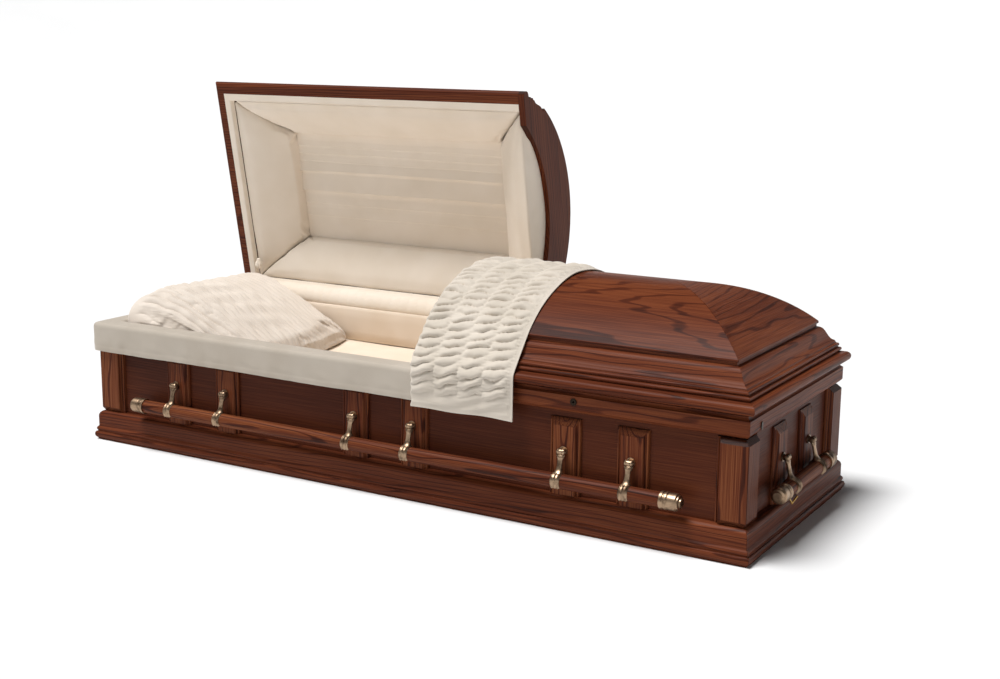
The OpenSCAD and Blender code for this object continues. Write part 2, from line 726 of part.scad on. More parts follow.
module throw_side(t, a, b) {
    fall = throw_fall(t);
    slope = (fall[2][1] - fall[1][1]) / (fall[2][0] - fall[1][0]);
    y = half_w + throw_back;
    back_z = fall[1][1] + slope * (-y - fall[1][0]);
    translate([a, 0, 0]) rotate([90, 0, 90]) linear_extrude(b - a) polygon([
        fall[0], fall[1], fall[2], [-fall[2][0], fall[2][1]], [y, back_z], [y, throw_z], [y, throw_z - 1],
        [fall[0][0], throw_z - 1]
    ]);
    intersection() {
        translate([a, 0, crown_cz]) rotate([0, 90, 0]) cylinder(r = crown_r + 0.5 + t, h = b - a, $fn = 180);
        translate([a, -half_w, crown_z]) cube([b - a, case_w, total_h]);
    }
}

throw_x = foot_split_x - 0.5; // inner face of the flap over the cut end

module throw() color(cloth) {
    a = throw_x - throw_t + 1;
    difference() {
        throw_side(throw_t + 2, a, a + throw_w);
        throw_side(0, throw_x, a + throw_w + 1);
        translate([a - 1, -half_w - throw_in, throw_z - 2])
            cube([throw_w + 2, case_w + throw_in + 60, rim_z + 2.5 - throw_z + 2]);
    }
}

// ---------- nodes ----------

bottom_board();
long_wall("front");  // front_wall
long_wall("back");  // back_wall
end_wall("foot");  // foot_wall
end_wall("head");  // head_wall
for (side = SIDES) {
    base_moulding(side);
    rail(side);
    pilasters(side);
    arms(side);
    bar(side);
    tips(side);
}
post(-1, -1);  // front_head_post
post(1, -1);  // front_foot_post
post(-1, 1);  // back_head_post
post(1, 1);  // back_foot_post
handle_lugs();
lock();
rail_cap();
casket_key();
color(wood) opened() lid_rim(head_cut);  // head_lid_rim
color(wood) opened() lid_crown(head_cut);  // head_lid_crown
color(wood) opened() lid_end();  // head_lid_end
color(wood) opened() lid_header(head_cut);  // head_lid_header
color(wood) lid_rim(foot_split_x);  // foot_lid_rim
color(wood) lid_crown(foot_split_x);  // foot_lid_crown
color(wood) lid_end();  // foot_lid_end
color(wood) lid_header(foot_split_x);  // foot_lid_header
case_hinge_leaves();
head_lid_leaves();
foot_lid_leaves();
bed();
pillow();
side_lining();
hinge_gusset();
apron();
throw();
color(cloth) opened() roll_side(head_cut);  // front_roll
color(cloth) opened() mirror([0, 1, 0]) roll_side(head_cut);  // back_roll
color(cloth) opened() roll_end(head_cut);  // end_roll
color(cloth) opened() roll_cut(head_cut);  // cut_roll
color(cloth) opened() lid_panel(head_cut, -seat);  // cap_panel
color(cloth) {  // foot_lid_lining
    roll_side(foot_split_x);
    mirror([0, 1, 0]) roll_side(foot_split_x);
    roll_end(foot_split_x);
    roll_cut(foot_split_x);
    lid_panel(foot_split_x, 5);
}
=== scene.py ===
"""The looks of a half-couch casket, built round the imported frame. Metres, front to -Y, head end to -X."""
import json
import math
import bmesh
import bpy
import numpy as np
from mathutils import Matrix, Vector


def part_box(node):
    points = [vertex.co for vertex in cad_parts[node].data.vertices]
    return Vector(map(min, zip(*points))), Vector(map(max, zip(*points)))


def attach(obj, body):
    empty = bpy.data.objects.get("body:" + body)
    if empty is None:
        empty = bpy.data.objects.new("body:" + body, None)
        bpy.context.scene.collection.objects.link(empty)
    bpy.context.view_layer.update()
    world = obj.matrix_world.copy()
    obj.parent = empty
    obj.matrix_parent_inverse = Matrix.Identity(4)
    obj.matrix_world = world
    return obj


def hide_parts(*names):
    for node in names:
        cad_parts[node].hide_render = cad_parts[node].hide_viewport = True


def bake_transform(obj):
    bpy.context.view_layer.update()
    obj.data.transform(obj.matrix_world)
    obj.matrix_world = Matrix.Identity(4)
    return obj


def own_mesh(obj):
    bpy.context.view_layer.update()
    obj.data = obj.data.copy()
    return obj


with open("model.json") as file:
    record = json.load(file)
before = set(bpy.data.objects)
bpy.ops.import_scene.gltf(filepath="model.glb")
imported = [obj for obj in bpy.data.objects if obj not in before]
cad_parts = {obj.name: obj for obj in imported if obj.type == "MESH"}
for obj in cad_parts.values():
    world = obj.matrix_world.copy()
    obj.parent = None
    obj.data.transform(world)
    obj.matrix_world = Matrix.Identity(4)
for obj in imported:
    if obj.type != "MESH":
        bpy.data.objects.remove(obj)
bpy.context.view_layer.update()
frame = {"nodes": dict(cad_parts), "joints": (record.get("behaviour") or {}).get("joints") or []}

MM = 0.001
TAU = 2 * math.pi
DOUBLES = 0.02 * MM  # points nearer than this are one point

# ---------- sizes taken from the frame ----------

wall_low, wall_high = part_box("front_wall")
HALF_L, HALF_W, CASE_TOP = wall_high.x, -wall_low.y, wall_high.z
BOARD = HALF_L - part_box("bottom_board")[1].x
INNER_L, INNER_W = HALF_L - BOARD, HALF_W - BOARD
BED_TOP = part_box("bed")[1].z
RIM_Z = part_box("foot_lid_rim")[0].z
CREST_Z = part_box("foot_lid_crown")[1].z
CROWN_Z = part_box("foot_lid_crown")[0].z
CROWN_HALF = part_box("foot_lid_crown")[1].y
FOOT_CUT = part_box("foot_lid_header")[0].x
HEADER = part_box("foot_lid_header")[1].x - FOOT_CUT
HEAD_CUT = -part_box("head_lid_header")[1].x
NOSE_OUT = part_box("foot_lid_rim")[1].x - HALF_L
RAIL_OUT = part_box("foot_rail")[1].x - HALF_L

# Arch of the crown: the circle through its crest and its two drip edges
DRIP = 6 * MM
crown_rise = CREST_Z - CROWN_Z - DRIP
CROWN_R = (CROWN_HALF ** 2 + crown_rise ** 2) / (2 * crown_rise)
CROWN_CZ = CREST_Z - CROWN_R

# A head lid is made closed over the foot half, then mirrored to the head half and turned open
joints = {j["name"]: j for j in frame["joints"]}
HINGE = Vector(joints["head_lid_hinge"]["pos_m"])
HINGE.x = 0
LID_OPEN = math.radians(joints["head_lid_hinge"]["range_deg"][1])
OPENED = Matrix.Translation(HINGE) @ Matrix.Rotation(-LID_OPEN, 4, "X") @ Matrix.Translation(-HINGE)
MIRRORED = Matrix.Diagonal((-1, 1, 1, 1))

SIDES = {"front": (0, HALF_W), "back": (180, HALF_W), "foot": (90, HALF_L), "head": (-90, HALF_L)}


def on_side(side):
    """Takes what is made outwards (-Y) of a wall at Y = 0 to one side of the case."""
    turn, out = SIDES[side]
    return Matrix.Rotation(math.radians(turn), 4, "Z") @ Matrix.Translation((0, -out, 0))


# ---------- camera, lights, floor ----------

def set_camera():
    azimuth, elevation, roll = math.radians(30.42), math.radians(11.79), math.radians(0.55)
    ahead = Vector((
        -math.sin(azimuth) * math.cos(elevation), math.cos(azimuth) * math.cos(elevation), -math.sin(elevation)
    ))
    level = Vector((math.cos(azimuth), math.sin(azimuth), 0))
    over = level.cross(ahead)
    right = level * math.cos(roll) + over * math.sin(roll)
    up = over * math.cos(roll) - level * math.sin(roll)
    camera = bpy.data.objects.new("camera", bpy.data.cameras.new("camera"))
    camera.data.lens = 52.6
    turn = Matrix((right, up, -ahead)).transposed().to_4x4()
    camera.matrix_world = Matrix.Translation((2.199, -3.468, 1.225)) @ turn
    bpy.context.scene.collection.objects.link(camera)
    bpy.context.scene.camera = camera


def set_studio():
    """A soft sun overhead, a weak low one in front, and a white floor that rises far off."""
    scene = bpy.context.scene
    for name, place, power, spread in (
        ("overhead", (-1.3, -1.3, 5.0), 4.2, 26), ("front_low", (-1.5, -5.0, 0.9), 0.1, 50)
    ):
        light = bpy.data.lights.new(name, "SUN")
        light.energy, light.angle = power, math.radians(spread)
        lamp = bpy.data.objects.new(name, light)
        lamp.matrix_world = Vector(place).to_track_quat("Z", "Y").to_matrix().to_4x4()
        scene.collection.objects.link(lamp)
    world = bpy.data.worlds.new("studio")
    world.use_nodes = True
    world.node_tree.nodes["Background"].inputs["Color"].default_value = rgb("F4F6FA")
    world.node_tree.nodes["Background"].inputs["Strength"].default_value = 0.04
    scene.world = world
    scene.view_settings.view_transform = "Standard"
    flat, steps, climb = 9.0, 48, 0.032
    radii = [flat + 0.6 * k for k in range(24)]
    points = [
        (r * math.cos(TAU * k / steps), r * math.sin(TAU * k / steps), climb * (r - flat) ** 2)
        for r in radii for k in range(steps)
    ]
    faces = [tuple(range(steps))] + [f[::-1] for f in grid_faces(len(radii), steps, wrap=True)]
    floor = mesh_object("floor", points, faces)
    shade_smooth(floor, 180)
    floor.data.materials.append(pale_floor())


# ---------- materials ----------

def rgb(code):
    """A colour's sRGB hex code as linear red, green, blue, alpha."""
    parts = [int(code[i:i + 2], 16) / 255 for i in (0, 2, 4)]
    return tuple(c / 12.92 if c <= 0.04045 else ((c + 0.055) / 1.055) ** 2.4 for c in parts) + (1.0,)


def add(tree, kind, settings=None, **links):
    """Adds a node: settings are its properties, and each link is a value or a socket for the input of that
    name, or of that number after an i. stops gives a colour ramp its places and colours."""
    node = tree.nodes.new(kind)
    settings = dict(settings or {})
    stops = settings.pop("stops", None)
    for key, value in settings.items():
        setattr(node, key, value)
    if stops:
        marks = node.color_ramp.elements
        while len(marks) < len(stops):
            marks.new(0.5)
        for mark, (place, code) in zip(marks, stops):
            mark.position, mark.color = place, rgb(code)
    for name, value in links.items():
        socket = node.inputs[int(name[1:])] if name[0] == "i" and name[1:].isdigit() else node.inputs[name]
        if isinstance(value, bpy.types.NodeSocket):
            tree.links.new(value, socket)
        else:
            socket.default_value = value
    return node


def new_material(name, **values):
    """A material whose shader has the given plain values. Returns it with its tree and shader."""
    made = bpy.data.materials.new(name)
    made.use_nodes = True
    shader = made.node_tree.nodes["Principled BSDF"]
    for key, value in values.items():
        shader.inputs[key.replace("_", " ")].default_value = value
    return made, made.node_tree, shader


def pale_floor():
    made, tree, shader = new_material("pale floor", Roughness=0.9, Specular_IOR_Level=0.1)
    place = add(tree, "ShaderNodeTexCoord").outputs["Object"]
    mottle = add(tree, "ShaderNodeTexNoise", Vector=place, Scale=1.5)
    tint = add(tree, "ShaderNodeValToRGB", {"stops": [(0, "E2E2E2"), (1, "E8E8E8")]}, Fac=mottle.outputs["Fac"])
    tree.links.new(tint.outputs["Color"], shader.inputs["Base Color"])
    return made


def grain_vector(tree, scale, turn=0.0):
    """The grain attribute, along, across and depth in metres, scaled and tipped about the across direction."""
    grain = add(tree, "ShaderNodeAttribute", {"attribute_name": "grain"})
    return add(
        tree, "ShaderNodeMapping", Vector=grain.outputs["Vector"], Scale=scale, Rotation=(0, turn, 0)
    ).outputs["Vector"]


def stained_oak(name, dark="30140C", middle="592A18", light="7A4226", figure=1.0, slope=24):
    """Flat-sawn oak, stained red-brown under satin lacquer: arched growth rings, long open pores, a soft gloss.
    Rings stand 8 mm apart, fibres are 1.6 mm wide and pores 0.9 mm, coarser than in the wood, to show.
    figure is how strongly the rings are drawn, and slope is the trunk's lean from the board, in degrees."""
    made, tree, shader = new_material(name, Roughness=0.4, Specular_IOR_Level=0.08)
    ring = 8 * MM
    # The trunk's axis leans from the board's face, which draws the rings out into arches
    trunk = grain_vector(tree, (0.06, 1, 1), math.radians(slope))
    wander = add(tree, "ShaderNodeTexNoise", Vector=grain_vector(tree, (1.3, 8, 8)), Scale=1.0, Detail=3.0)
    shift = add(
        tree, "ShaderNodeVectorMath", {"operation": "SUBTRACT"}, i0=wander.outputs["Color"], i1=(0.5,) * 3
    )
    shift = add(tree, "ShaderNodeVectorMath", {"operation": "SCALE"}, i0=shift.outputs[0], Scale=0.05)
    moved = add(tree, "ShaderNodeVectorMath", {"operation": "ADD"}, i0=trunk, i1=shift.outputs[0])
    parts = add(tree, "ShaderNodeSeparateXYZ", Vector=moved.outputs[0])
    flat = add(tree, "ShaderNodeCombineXYZ", Y=parts.outputs["Y"], Z=parts.outputs["Z"])
    radius = add(tree, "ShaderNodeVectorMath", {"operation": "LENGTH"}, i0=flat.outputs[0])
    turns = add(tree, "ShaderNodeMath", {"operation": "MULTIPLY"}, i0=radius.outputs["Value"], i1=TAU / ring)
    wave = add(tree, "ShaderNodeMath", {"operation": "SINE"}, i0=turns.outputs[0])
    # Late wood is a thin dark line at the end of each ring
    rings = add(
        tree, "ShaderNodeMapRange", {"interpolation_type": "SMOOTHSTEP"},
        Value=wave.outputs[0], i1=-1.0, i2=-0.6
    )
    fibre = add(tree, "ShaderNodeTexNoise", Vector=grain_vector(tree, (5, 620, 620)), Scale=1.0, Detail=3.0)
    pores = add(tree, "ShaderNodeTexNoise", Vector=grain_vector(tree, (16, 1100, 1100)), Scale=1.0, Detail=2.0)
    tone = add(tree, "ShaderNodeTexNoise", Vector=grain_vector(tree, (0.9, 6, 6)), Scale=1.0, Detail=2.0)
    total = add(tree, "ShaderNodeMath", {"operation": "MULTIPLY"}, i0=rings.outputs[0], i1=0.15 * figure)
    for part, share in ((fibre, 0.50), (tone, 0.35)):
        total = add(
            tree, "ShaderNodeMath", {"operation": "MULTIPLY_ADD"},
            i0=part.outputs["Fac"], i1=share, i2=total.outputs[0]
        )
    mean = 0.425 + 0.13 * figure
    colour = add(
        tree, "ShaderNodeValToRGB", {"stops": [(mean - 0.19, dark), (mean, middle), (mean + 0.17, light)]},
        Fac=total.outputs[0]
    )
    # Faces across the grain are darkened: end grain drinks more stain, and the same darkening paints shade on
    # upward bevels, as atop the pilasters and posts
    cut = add(tree, "ShaderNodeAttribute", {"attribute_name": "end_grain"})
    stain_and_shade_share = add(tree, "ShaderNodeMapRange", Value=cut.outputs["Fac"], i1=0.3, i2=0.7, i3=0.0, i4=0.8)
    stain = add(
        tree, "ShaderNodeMix", {"data_type": "RGBA"},
        i0=stain_and_shade_share.outputs[0], i6=colour.outputs["Color"], i7=rgb("1C0A06")
    )
    tree.links.new(stain.outputs[2], shader.inputs["Base Color"])
    gloss = add(tree, "ShaderNodeMapRange", Value=pores.outputs["Fac"], i1=0.3, i2=0.7, i3=0.34, i4=0.5)
    tree.links.new(gloss.outputs[0], shader.inputs["Roughness"])
    relief = add(tree, "ShaderNodeBump", Height=pores.outputs["Fac"], Strength=0.3, Distance=0.3 * MM)
    tree.links.new(relief.outputs[0], shader.inputs["Normal"])
    return made


def crepe(name, light, shade, crinkle=2.2 * MM, depth=0.35 * MM):
    """Woven crepe over padding: matt with a faint sheen, its fine crinkle drawn at 2 mm to show."""
    made, tree, shader = new_material(
        name, Roughness=0.88, Sheen_Weight=0.25, Sheen_Roughness=0.5, Specular_IOR_Level=0.25
    )
    place = add(tree, "ShaderNodeTexCoord").outputs["Object"]
    cloud = add(tree, "ShaderNodeTexNoise", Vector=place, Scale=9.0, Detail=2.0)
    colour = add(tree, "ShaderNodeValToRGB", {"stops": [(0.3, shade), (0.7, light)]}, Fac=cloud.outputs["Fac"])
    tree.links.new(colour.outputs["Color"], shader.inputs["Base Color"])
    fine = add(tree, "ShaderNodeTexNoise", Vector=place, Scale=0.5 / crinkle, Detail=3.0, Roughness=0.6)
    relief = add(tree, "ShaderNodeBump", Height=fine.outputs["Fac"], Strength=0.5, Distance=depth)
    tree.links.new(relief.outputs[0], shader.inputs["Normal"])
    return made


def antique_metal(name, dark, bright, roughness, grit=14 * MM):
    """Cast zinc under antique plating: bright where hands rub it, brown in the hollows, in soft clouds."""
    made, tree, shader = new_material(name, Metallic=1.0, Roughness=roughness)
    place = add(tree, "ShaderNodeTexCoord").outputs["Object"]
    cloud = add(tree, "ShaderNodeTexNoise", Vector=place, Scale=1 / grit, Detail=4.0)
    colour = add(tree, "ShaderNodeValToRGB", {"stops": [(0.3, dark), (0.55, bright)]}, Fac=cloud.outputs["Fac"])
    tree.links.new(colour.outputs["Color"], shader.inputs["Base Color"])
    # The rubbed, bright places are the smoother ones
    rub = add(
        tree, "ShaderNodeMapRange", Value=cloud.outputs["Fac"],
        i1=0.3, i2=0.7, i3=roughness + 0.12, i4=roughness - 0.06
    )
    tree.links.new(rub.outputs[0], shader.inputs["Roughness"])
    fine = add(tree, "ShaderNodeTexNoise", Vector=place, Scale=700.0, Detail=2.0)
    relief = add(tree, "ShaderNodeBump", Height=fine.outputs["Fac"], Strength=0.2, Distance=0.1 * MM)
    tree.links.new(relief.outputs[0], shader.inputs["Normal"])
    return made


# ---------- mesh helpers ----------

def mesh_object(name, points, faces, edges=()):
    mesh = bpy.data.meshes.new(name)
    mesh.from_pydata([tuple(p) for p in points], list(edges), [tuple(int(i) for i in f) for f in faces])
    made = bpy.data.objects.new(name, mesh)
    bpy.context.scene.collection.objects.link(made)
    return made


def close_up(made, sharp=50):
    """Merges doubles, points the faces outwards and shades smooth but for edges sharper than the angle."""
    work = bmesh.new()
    work.from_mesh(made.data)
    bmesh.ops.remove_doubles(work, verts=work.verts, dist=DOUBLES)
    bmesh.ops.recalc_face_normals(work, faces=work.faces)
    work.to_mesh(made.data)
    work.free()
    shade_smooth(made, sharp)
    return made


def shade_smooth(made, sharp):
    made.data.polygons.foreach_set("use_smooth", [True] * len(made.data.polygons))
    made.data.set_sharp_from_angle(angle=math.radians(sharp))


def settle(made, body, slot, finish, *nodes):
    """Gives a finished piece its material and body, and hides the frame's nodes that it stands for. slot is not
    used.
    """
    made.data.materials.clear()
    made.data.materials.append(finish)
    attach(made, body)
    if nodes:
        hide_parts(*nodes)
    return made


def finished(made):
    """Turns an object's modifiers into a plain mesh."""
    bpy.context.view_layer.update()
    graph = bpy.context.evaluated_depsgraph_get()
    mesh = bpy.data.meshes.new_from_object(
        made.evaluated_get(graph), preserve_all_data_layers=True, depsgraph=graph
    )
    made.modifiers.clear()
    old, made.data = made.data, mesh
    mesh.name = made.name
    bpy.data.meshes.remove(old)
    return made


def moved_by(made, matrix):
    made.data.transform(matrix)
    if matrix.determinant() < 0:
        made.data.flip_normals()
    return made


def joined(name, parts):
    """One object from several, whose meshes keep their places."""
    work = bmesh.new()
    for part in parts:
        work.from_mesh(part.data)
        old = part.data
        bpy.data.objects.remove(part)
        bpy.data.meshes.remove(old)
    made = mesh_object(name, [], [])
    work.to_mesh(made.data)
    work.free()
    return made


def grid_faces(rows, columns, wrap=False):
    """Quads over rows of points, each with the given number of columns, wrapped round the columns or not."""
    faces = []
    for r in range(rows - 1):
        here, after = r * columns, (r + 1) * columns
        for c in range(columns if wrap else columns - 1):
            beside = (c + 1) % columns
            faces.append((here + c, here + beside, after + beside, after + c))
    return faces


def closed_tube(name, rings):
    """A closed form through rings of points, its ends capped."""
    rings = np.asarray(rings, float)
    rows, columns = rings.shape[:2]
    faces = grid_faces(rows, columns, wrap=True)
    faces += [tuple(range(columns))[::-1], tuple((rows - 1) * columns + c for c in range(columns))]
    return close_up(mesh_object(name, rings.reshape(-1, 3), faces))


def pad_form(name, top, bottom, sharp=50):
    """A closed form between two grids of points."""
    rows, columns = top.shape[:2]
    count = rows * columns
    faces = grid_faces(rows, columns)
    faces += [tuple(count + i for i in reversed(f)) for f in grid_faces(rows, columns)]
    edge = grid_edge(rows, columns)
    faces += [(q, p, count + p, count + q) for p, q in zip(edge, edge[1:] + edge[:1])]
    both = np.concatenate([top.reshape(-1, 3), bottom.reshape(-1, 3)])
    return close_up(mesh_object(name, both, faces), sharp)


def grid_edge(rows, columns):
    """The points round the edge of a grid, in order."""
    edge = list(range(columns)) + [r * columns + columns - 1 for r in range(1, rows)]
    edge += [(rows - 1) * columns + c for c in range(columns - 2, -1, -1)]
    return edge + [r * columns for r in range(rows - 2, 0, -1)]


def surface_normals(points):
    """Unit normals of a grid of points, upwards where points meet."""
    normal = np.cross(np.gradient(points, axis=0), np.gradient(points, axis=1))
    size = np.linalg.norm(normal, axis=2, keepdims=True)
    return np.where(size < 1e-10, np.array([0, 0, 1.0]), normal / np.maximum(size, 1e-12))


def cloth(name, points, thick, sharp=70):
    """A closed sheet of cloth: a grid of points given its thickness, a number or one for each point."""
    points = np.asarray(points, float)
    half = surface_normals(points) * (np.ones(points.shape[:2]) * thick)[..., None] / 2
    return pad_form(name, points + half, points - half, sharp)


def drift(u, v, length, seed):
    """A slow wander between about -1 and 1, with bumps about the given length apart."""
    draw = np.random.default_rng(seed)
    total = 0
    for _ in range(5):
        angle, phase = draw.uniform(0, TAU, 2)
        pace = TAU / length * draw.uniform(0.6, 1.4)
        total = total + np.sin(pace * (u * math.cos(angle) + v * math.sin(angle)) + phase)
    return total / 3


def smooth_path(corners, step, soften):
    """Points at an even step along the lines through the corners, rounded over about the given length."""
    corners = np.asarray(corners, float)
    run = np.concatenate([[0], np.cumsum(np.linalg.norm(np.diff(corners, axis=0), axis=1))])
    count = int(run[-1] / step) + 1
    at = np.linspace(0, run[-1], count)
    path = np.stack([np.interp(at, run, corners[:, k]) for k in range(corners.shape[1])], axis=1)
    reach = int(3 * soften / step)
    weight = np.exp(-0.5 * (np.arange(-reach, reach + 1) * step / soften) ** 2)
    weight /= weight.sum()
    padded = np.concatenate([2 * path[0] - path[reach:0:-1], path, 2 * path[-1] - path[-2:-reach - 2:-1]])
    return np.stack([np.convolve(padded[:, k], weight, "valid") for k in range(corners.shape[1])], axis=1)


def swell(made, cap, hold, voxel=6 * MM, frames=20):
    """Blows a closed pad up as cloth under air pressure, no point moving more than the cap. hold says which
    points, from their rest places, stay sewn down."""
    remesh = made.modifiers.new("voxels", "REMESH")
    remesh.mode, remesh.voxel_size, remesh.use_smooth_shade = "VOXEL", voxel, True
    finished(made)
    count = len(made.data.vertices)
    before = np.empty(count * 3)
    made.data.vertices.foreach_get("co", before)
    before = before.reshape(-1, 3)
    air = made.modifiers.new("air", "CLOTH")
    air.settings.use_pressure = True
    air.settings.uniform_pressure_force = 4.0
    air.settings.effector_weights.gravity = 0
    air.settings.quality = 4
    air.collision_settings.use_self_collision = False
    air.point_cache.frame_start, air.point_cache.frame_end = 1, frames
    pinned = made.vertex_groups.new(name="sewn")
    pinned.add([int(i) for i in np.nonzero(hold(before))[0]], 1.0, "REPLACE")
    air.settings.vertex_group_mass = "sewn"
    for step in range(1, frames + 1):
        bpy.context.scene.frame_set(step)
    finished(made)
    after = np.empty(count * 3)
    made.data.vertices.foreach_get("co", after)
    move = after.reshape(-1, 3) - before
    far = np.linalg.norm(move, axis=1, keepdims=True)
    move *= np.minimum(1, cap / np.maximum(far, 1e-9))
    made.data.vertices.foreach_set("co", (before + move).reshape(-1))
    made.vertex_groups.clear()
    bpy.context.scene.frame_set(1)
    shade_smooth(made, 180)
    return made


def relief(made, height):
    """Moves each point of a mesh along its normal by height(places, normals)."""
    mesh = made.data
    count = len(mesh.vertices)
    places, normals = np.empty(count * 3), np.empty(count * 3)
    mesh.vertices.foreach_get("co", places)
    mesh.vertex_normals.foreach_get("vector", normals)
    places, normals = places.reshape(-1, 3), normals.reshape(-1, 3)
    places = places + normals * height(places, normals)[:, None]
    mesh.vertices.foreach_set("co", places.reshape(-1))
    mesh.update()
    return made


# ---------- rows of like pieces ----------

def node_tree(name, inputs):
    """A geometry tree with the given named inputs, [name, kind of socket]. Returns it with its input node."""
    tree = bpy.data.node_groups.new(name, "GeometryNodeTree")
    tree.interface.new_socket("Geometry", in_out="INPUT", socket_type="NodeSocketGeometry")
    for label, kind in inputs:
        tree.interface.new_socket(label, in_out="INPUT", socket_type="NodeSocket" + kind)
    tree.interface.new_socket("Geometry", in_out="OUTPUT", socket_type="NodeSocketGeometry")
    return tree, tree.nodes.new("NodeGroupInput").outputs


def end_tree(tree, instances, finish):
    whole = add(tree, "GeometryNodeRealizeInstances", Geometry=instances)
    dressed = add(tree, "GeometryNodeSetMaterial", Geometry=whole.outputs[0], Material=finish)
    add(tree, "NodeGroupOutput", Geometry=dressed.outputs[0])
    return tree


def piece_row():
    """Sets a copy of one piece at every point."""
    tree, given = node_tree("row of pieces", [("Piece", "Object"), ("Finish", "Material")])
    piece = add(tree, "GeometryNodeObjectInfo", Object=given["Piece"])
    copies = add(
        tree, "GeometryNodeInstanceOnPoints", Points=given["Geometry"], Instance=piece.outputs["Geometry"]
    )
    return end_tree(tree, copies.outputs[0], given["Finish"])


def stitch_row():
    """Sews a line of stitches along a path."""
    tree, given = node_tree("row of stitches", [
        ("Spacing", "Float"), ("Length", "Float"), ("Thread", "Float"), ("Finish", "Material")
    ])
    path = add(tree, "GeometryNodeMeshToCurve", Mesh=given["Geometry"])
    spots = add(
        tree, "GeometryNodeResampleCurve", {"mode": "LENGTH"}, Curve=path.outputs[0], Length=given["Spacing"]
    )
    stitch = add(tree, "GeometryNodeMeshUVSphere", Segments=6, Rings=6, Radius=0.5)
    along = add(tree, "GeometryNodeInputTangent")
    turn = add(tree, "FunctionNodeAlignRotationToVector", {"axis": "Z"}, Vector=along.outputs[0])
    size = add(tree, "ShaderNodeCombineXYZ", X=given["Thread"], Y=given["Thread"], Z=given["Length"])
    copies = add(
        tree, "GeometryNodeInstanceOnPoints", Points=spots.outputs[0], Instance=stitch.outputs["Mesh"],
        Rotation=turn.outputs[0], Scale=size.outputs[0]
    )
    return end_tree(tree, copies.outputs[0], given["Finish"])


def grown(name, points, tree, edges=(), **values):
    """Runs a tree on the points, joined by the edges or loose, with values for its named inputs."""
    made = mesh_object(name, points, [], edges)
    step = made.modifiers.new("row", "NODES")
    step.node_group = tree
    for socket in tree.interface.items_tree:
        if socket.in_out == "INPUT" and socket.name in values:
            step[socket.identifier] = values[socket.name]
    return finished(made)


# ---------- wooden pieces ----------

def islands(work):
    """Numbers the connected groups of faces of a bmesh, in the order of the faces."""
    group = [-1] * len(work.faces)
    work.faces.ensure_lookup_table()
    found = 0
    for first in work.faces:
        if group[first.index] >= 0:
            continue
        queue = [first]
        group[first.index] = found
        while queue:
            for edge in queue.pop().edges:
                for face in edge.link_faces:
                    if group[face.index] < 0:
                        group[face.index] = found
                        queue.append(face)
        found += 1
    return np.array(group)


AXES = {"x": (0, 1, 2), "y": (1, 0, 2), "z": (2, 0, 1)}


def lay_grain(made, axis, open_lid):
    """Stores each corner's place along, across and into its own board. A rim's boards meet at mitres."""
    work = bmesh.new()
    work.from_mesh(made.data)
    group = islands(work)
    sizes = [len(face.verts) for face in work.faces]
    corners = np.array([loop.vert.co[:] for face in work.faces for loop in face.loops])
    centres = np.array([face.calc_center_median()[:] for face in work.faces])
    normals = np.array([face.normal[:] for face in work.faces])
    work.free()
    if open_lid:
        back = np.array(OPENED.inverted())
        normals = normals @ back[:3, :3].T
        corners = corners @ back[:3, :3].T + back[:3, 3]
        centres = centres @ back[:3, :3].T + back[:3, 3]
    if axis == "mitred":
        end = np.abs(centres[:, 0]) - HALF_L > np.abs(centres[:, 1]) - HALF_W
        group = np.where(end, 1, np.where(centres[:, 1] > 0, 2, 0))
        axis_of = {0: "x", 1: "y", 2: "x"}
    elif axis == "crown":
        group = (centres[:, 1] > 0).astype(int)
        axis_of = {0: "x", 1: "x"}
    else:
        axis_of = {g: axis for g in range(group.max() + 1)}
    per_corner = np.repeat(group, sizes)
    out = np.zeros_like(corners)
    across = np.zeros(len(corners))
    draw = np.random.default_rng(sum(ord(c) * (i + 3) for i, c in enumerate(made.name)))
    for g, way in axis_of.items():
        mine = per_corner == g
        if not mine.any():
            continue
        board = corners[mine][:, AXES[way]]
        low, high = board.min(0), board.max(0)
        middle = (low + high) / 2
        size = high - low
        thin = 1 if size[1] < size[2] else 2
        pith = middle.copy()
        pith[3 - thin] += draw.uniform(-0.2, 0.2) * size[3 - thin]
        pith[thin] -= math.copysign(draw.uniform(25, 45) * MM + size[thin] / 2, middle[thin])
        pith[0] = draw.uniform(0, 5)
        out[mine] = board - pith
        across[mine] = np.abs(np.repeat(normals[:, AXES[way][0]], sizes)[mine])
    store = made.data.attributes.new("grain", "FLOAT_VECTOR", "CORNER")
    store.data.foreach_set("vector", out.reshape(-1))
    # How squarely each face crosses its board's grain; the wood darkens these faces as end grain and as painted
    # shade
    made.data.attributes.new("end_grain", "FLOAT", "CORNER").data.foreach_set("value", across)


def eased_copy(node, ease, sharp=30):
    """A frame node's solid with its triangles merged back into faces and its edges eased."""
    made = bpy.data.objects.new(node + "_finish", frame["nodes"][node].data.copy())
    bpy.context.scene.collection.objects.link(made)
    work = bmesh.new()
    work.from_mesh(made.data)
    bmesh.ops.remove_doubles(work, verts=work.verts, dist=DOUBLES)
    bmesh.ops.dissolve_limit(work, angle_limit=math.radians(0.4), verts=work.verts, edges=work.edges)
    for face in work.faces:
        face.smooth = True
    work.to_mesh(made.data)
    work.free()
    for layer in ("custom_normal", "sharp_face", "sharp_edge"):
        if layer in made.data.attributes:
            made.data.attributes.remove(made.data.attributes[layer])
    round_over = made.modifiers.new("eased edges", "BEVEL")
    round_over.width, round_over.segments = ease, 2
    round_over.limit_method, round_over.angle_limit = "ANGLE", math.radians(sharp)
    flatten = made.modifiers.new("flat faces", "WEIGHTED_NORMAL")
    flatten.weight = 80
    return finished(made)


def wooden(node, body, axis, finish, slot="stained_oak", ease=1.0 * MM, open_lid=False):
    made = eased_copy(node, ease)
    lay_grain(made, axis, open_lid)
    return settle(made, body, slot, finish, node)


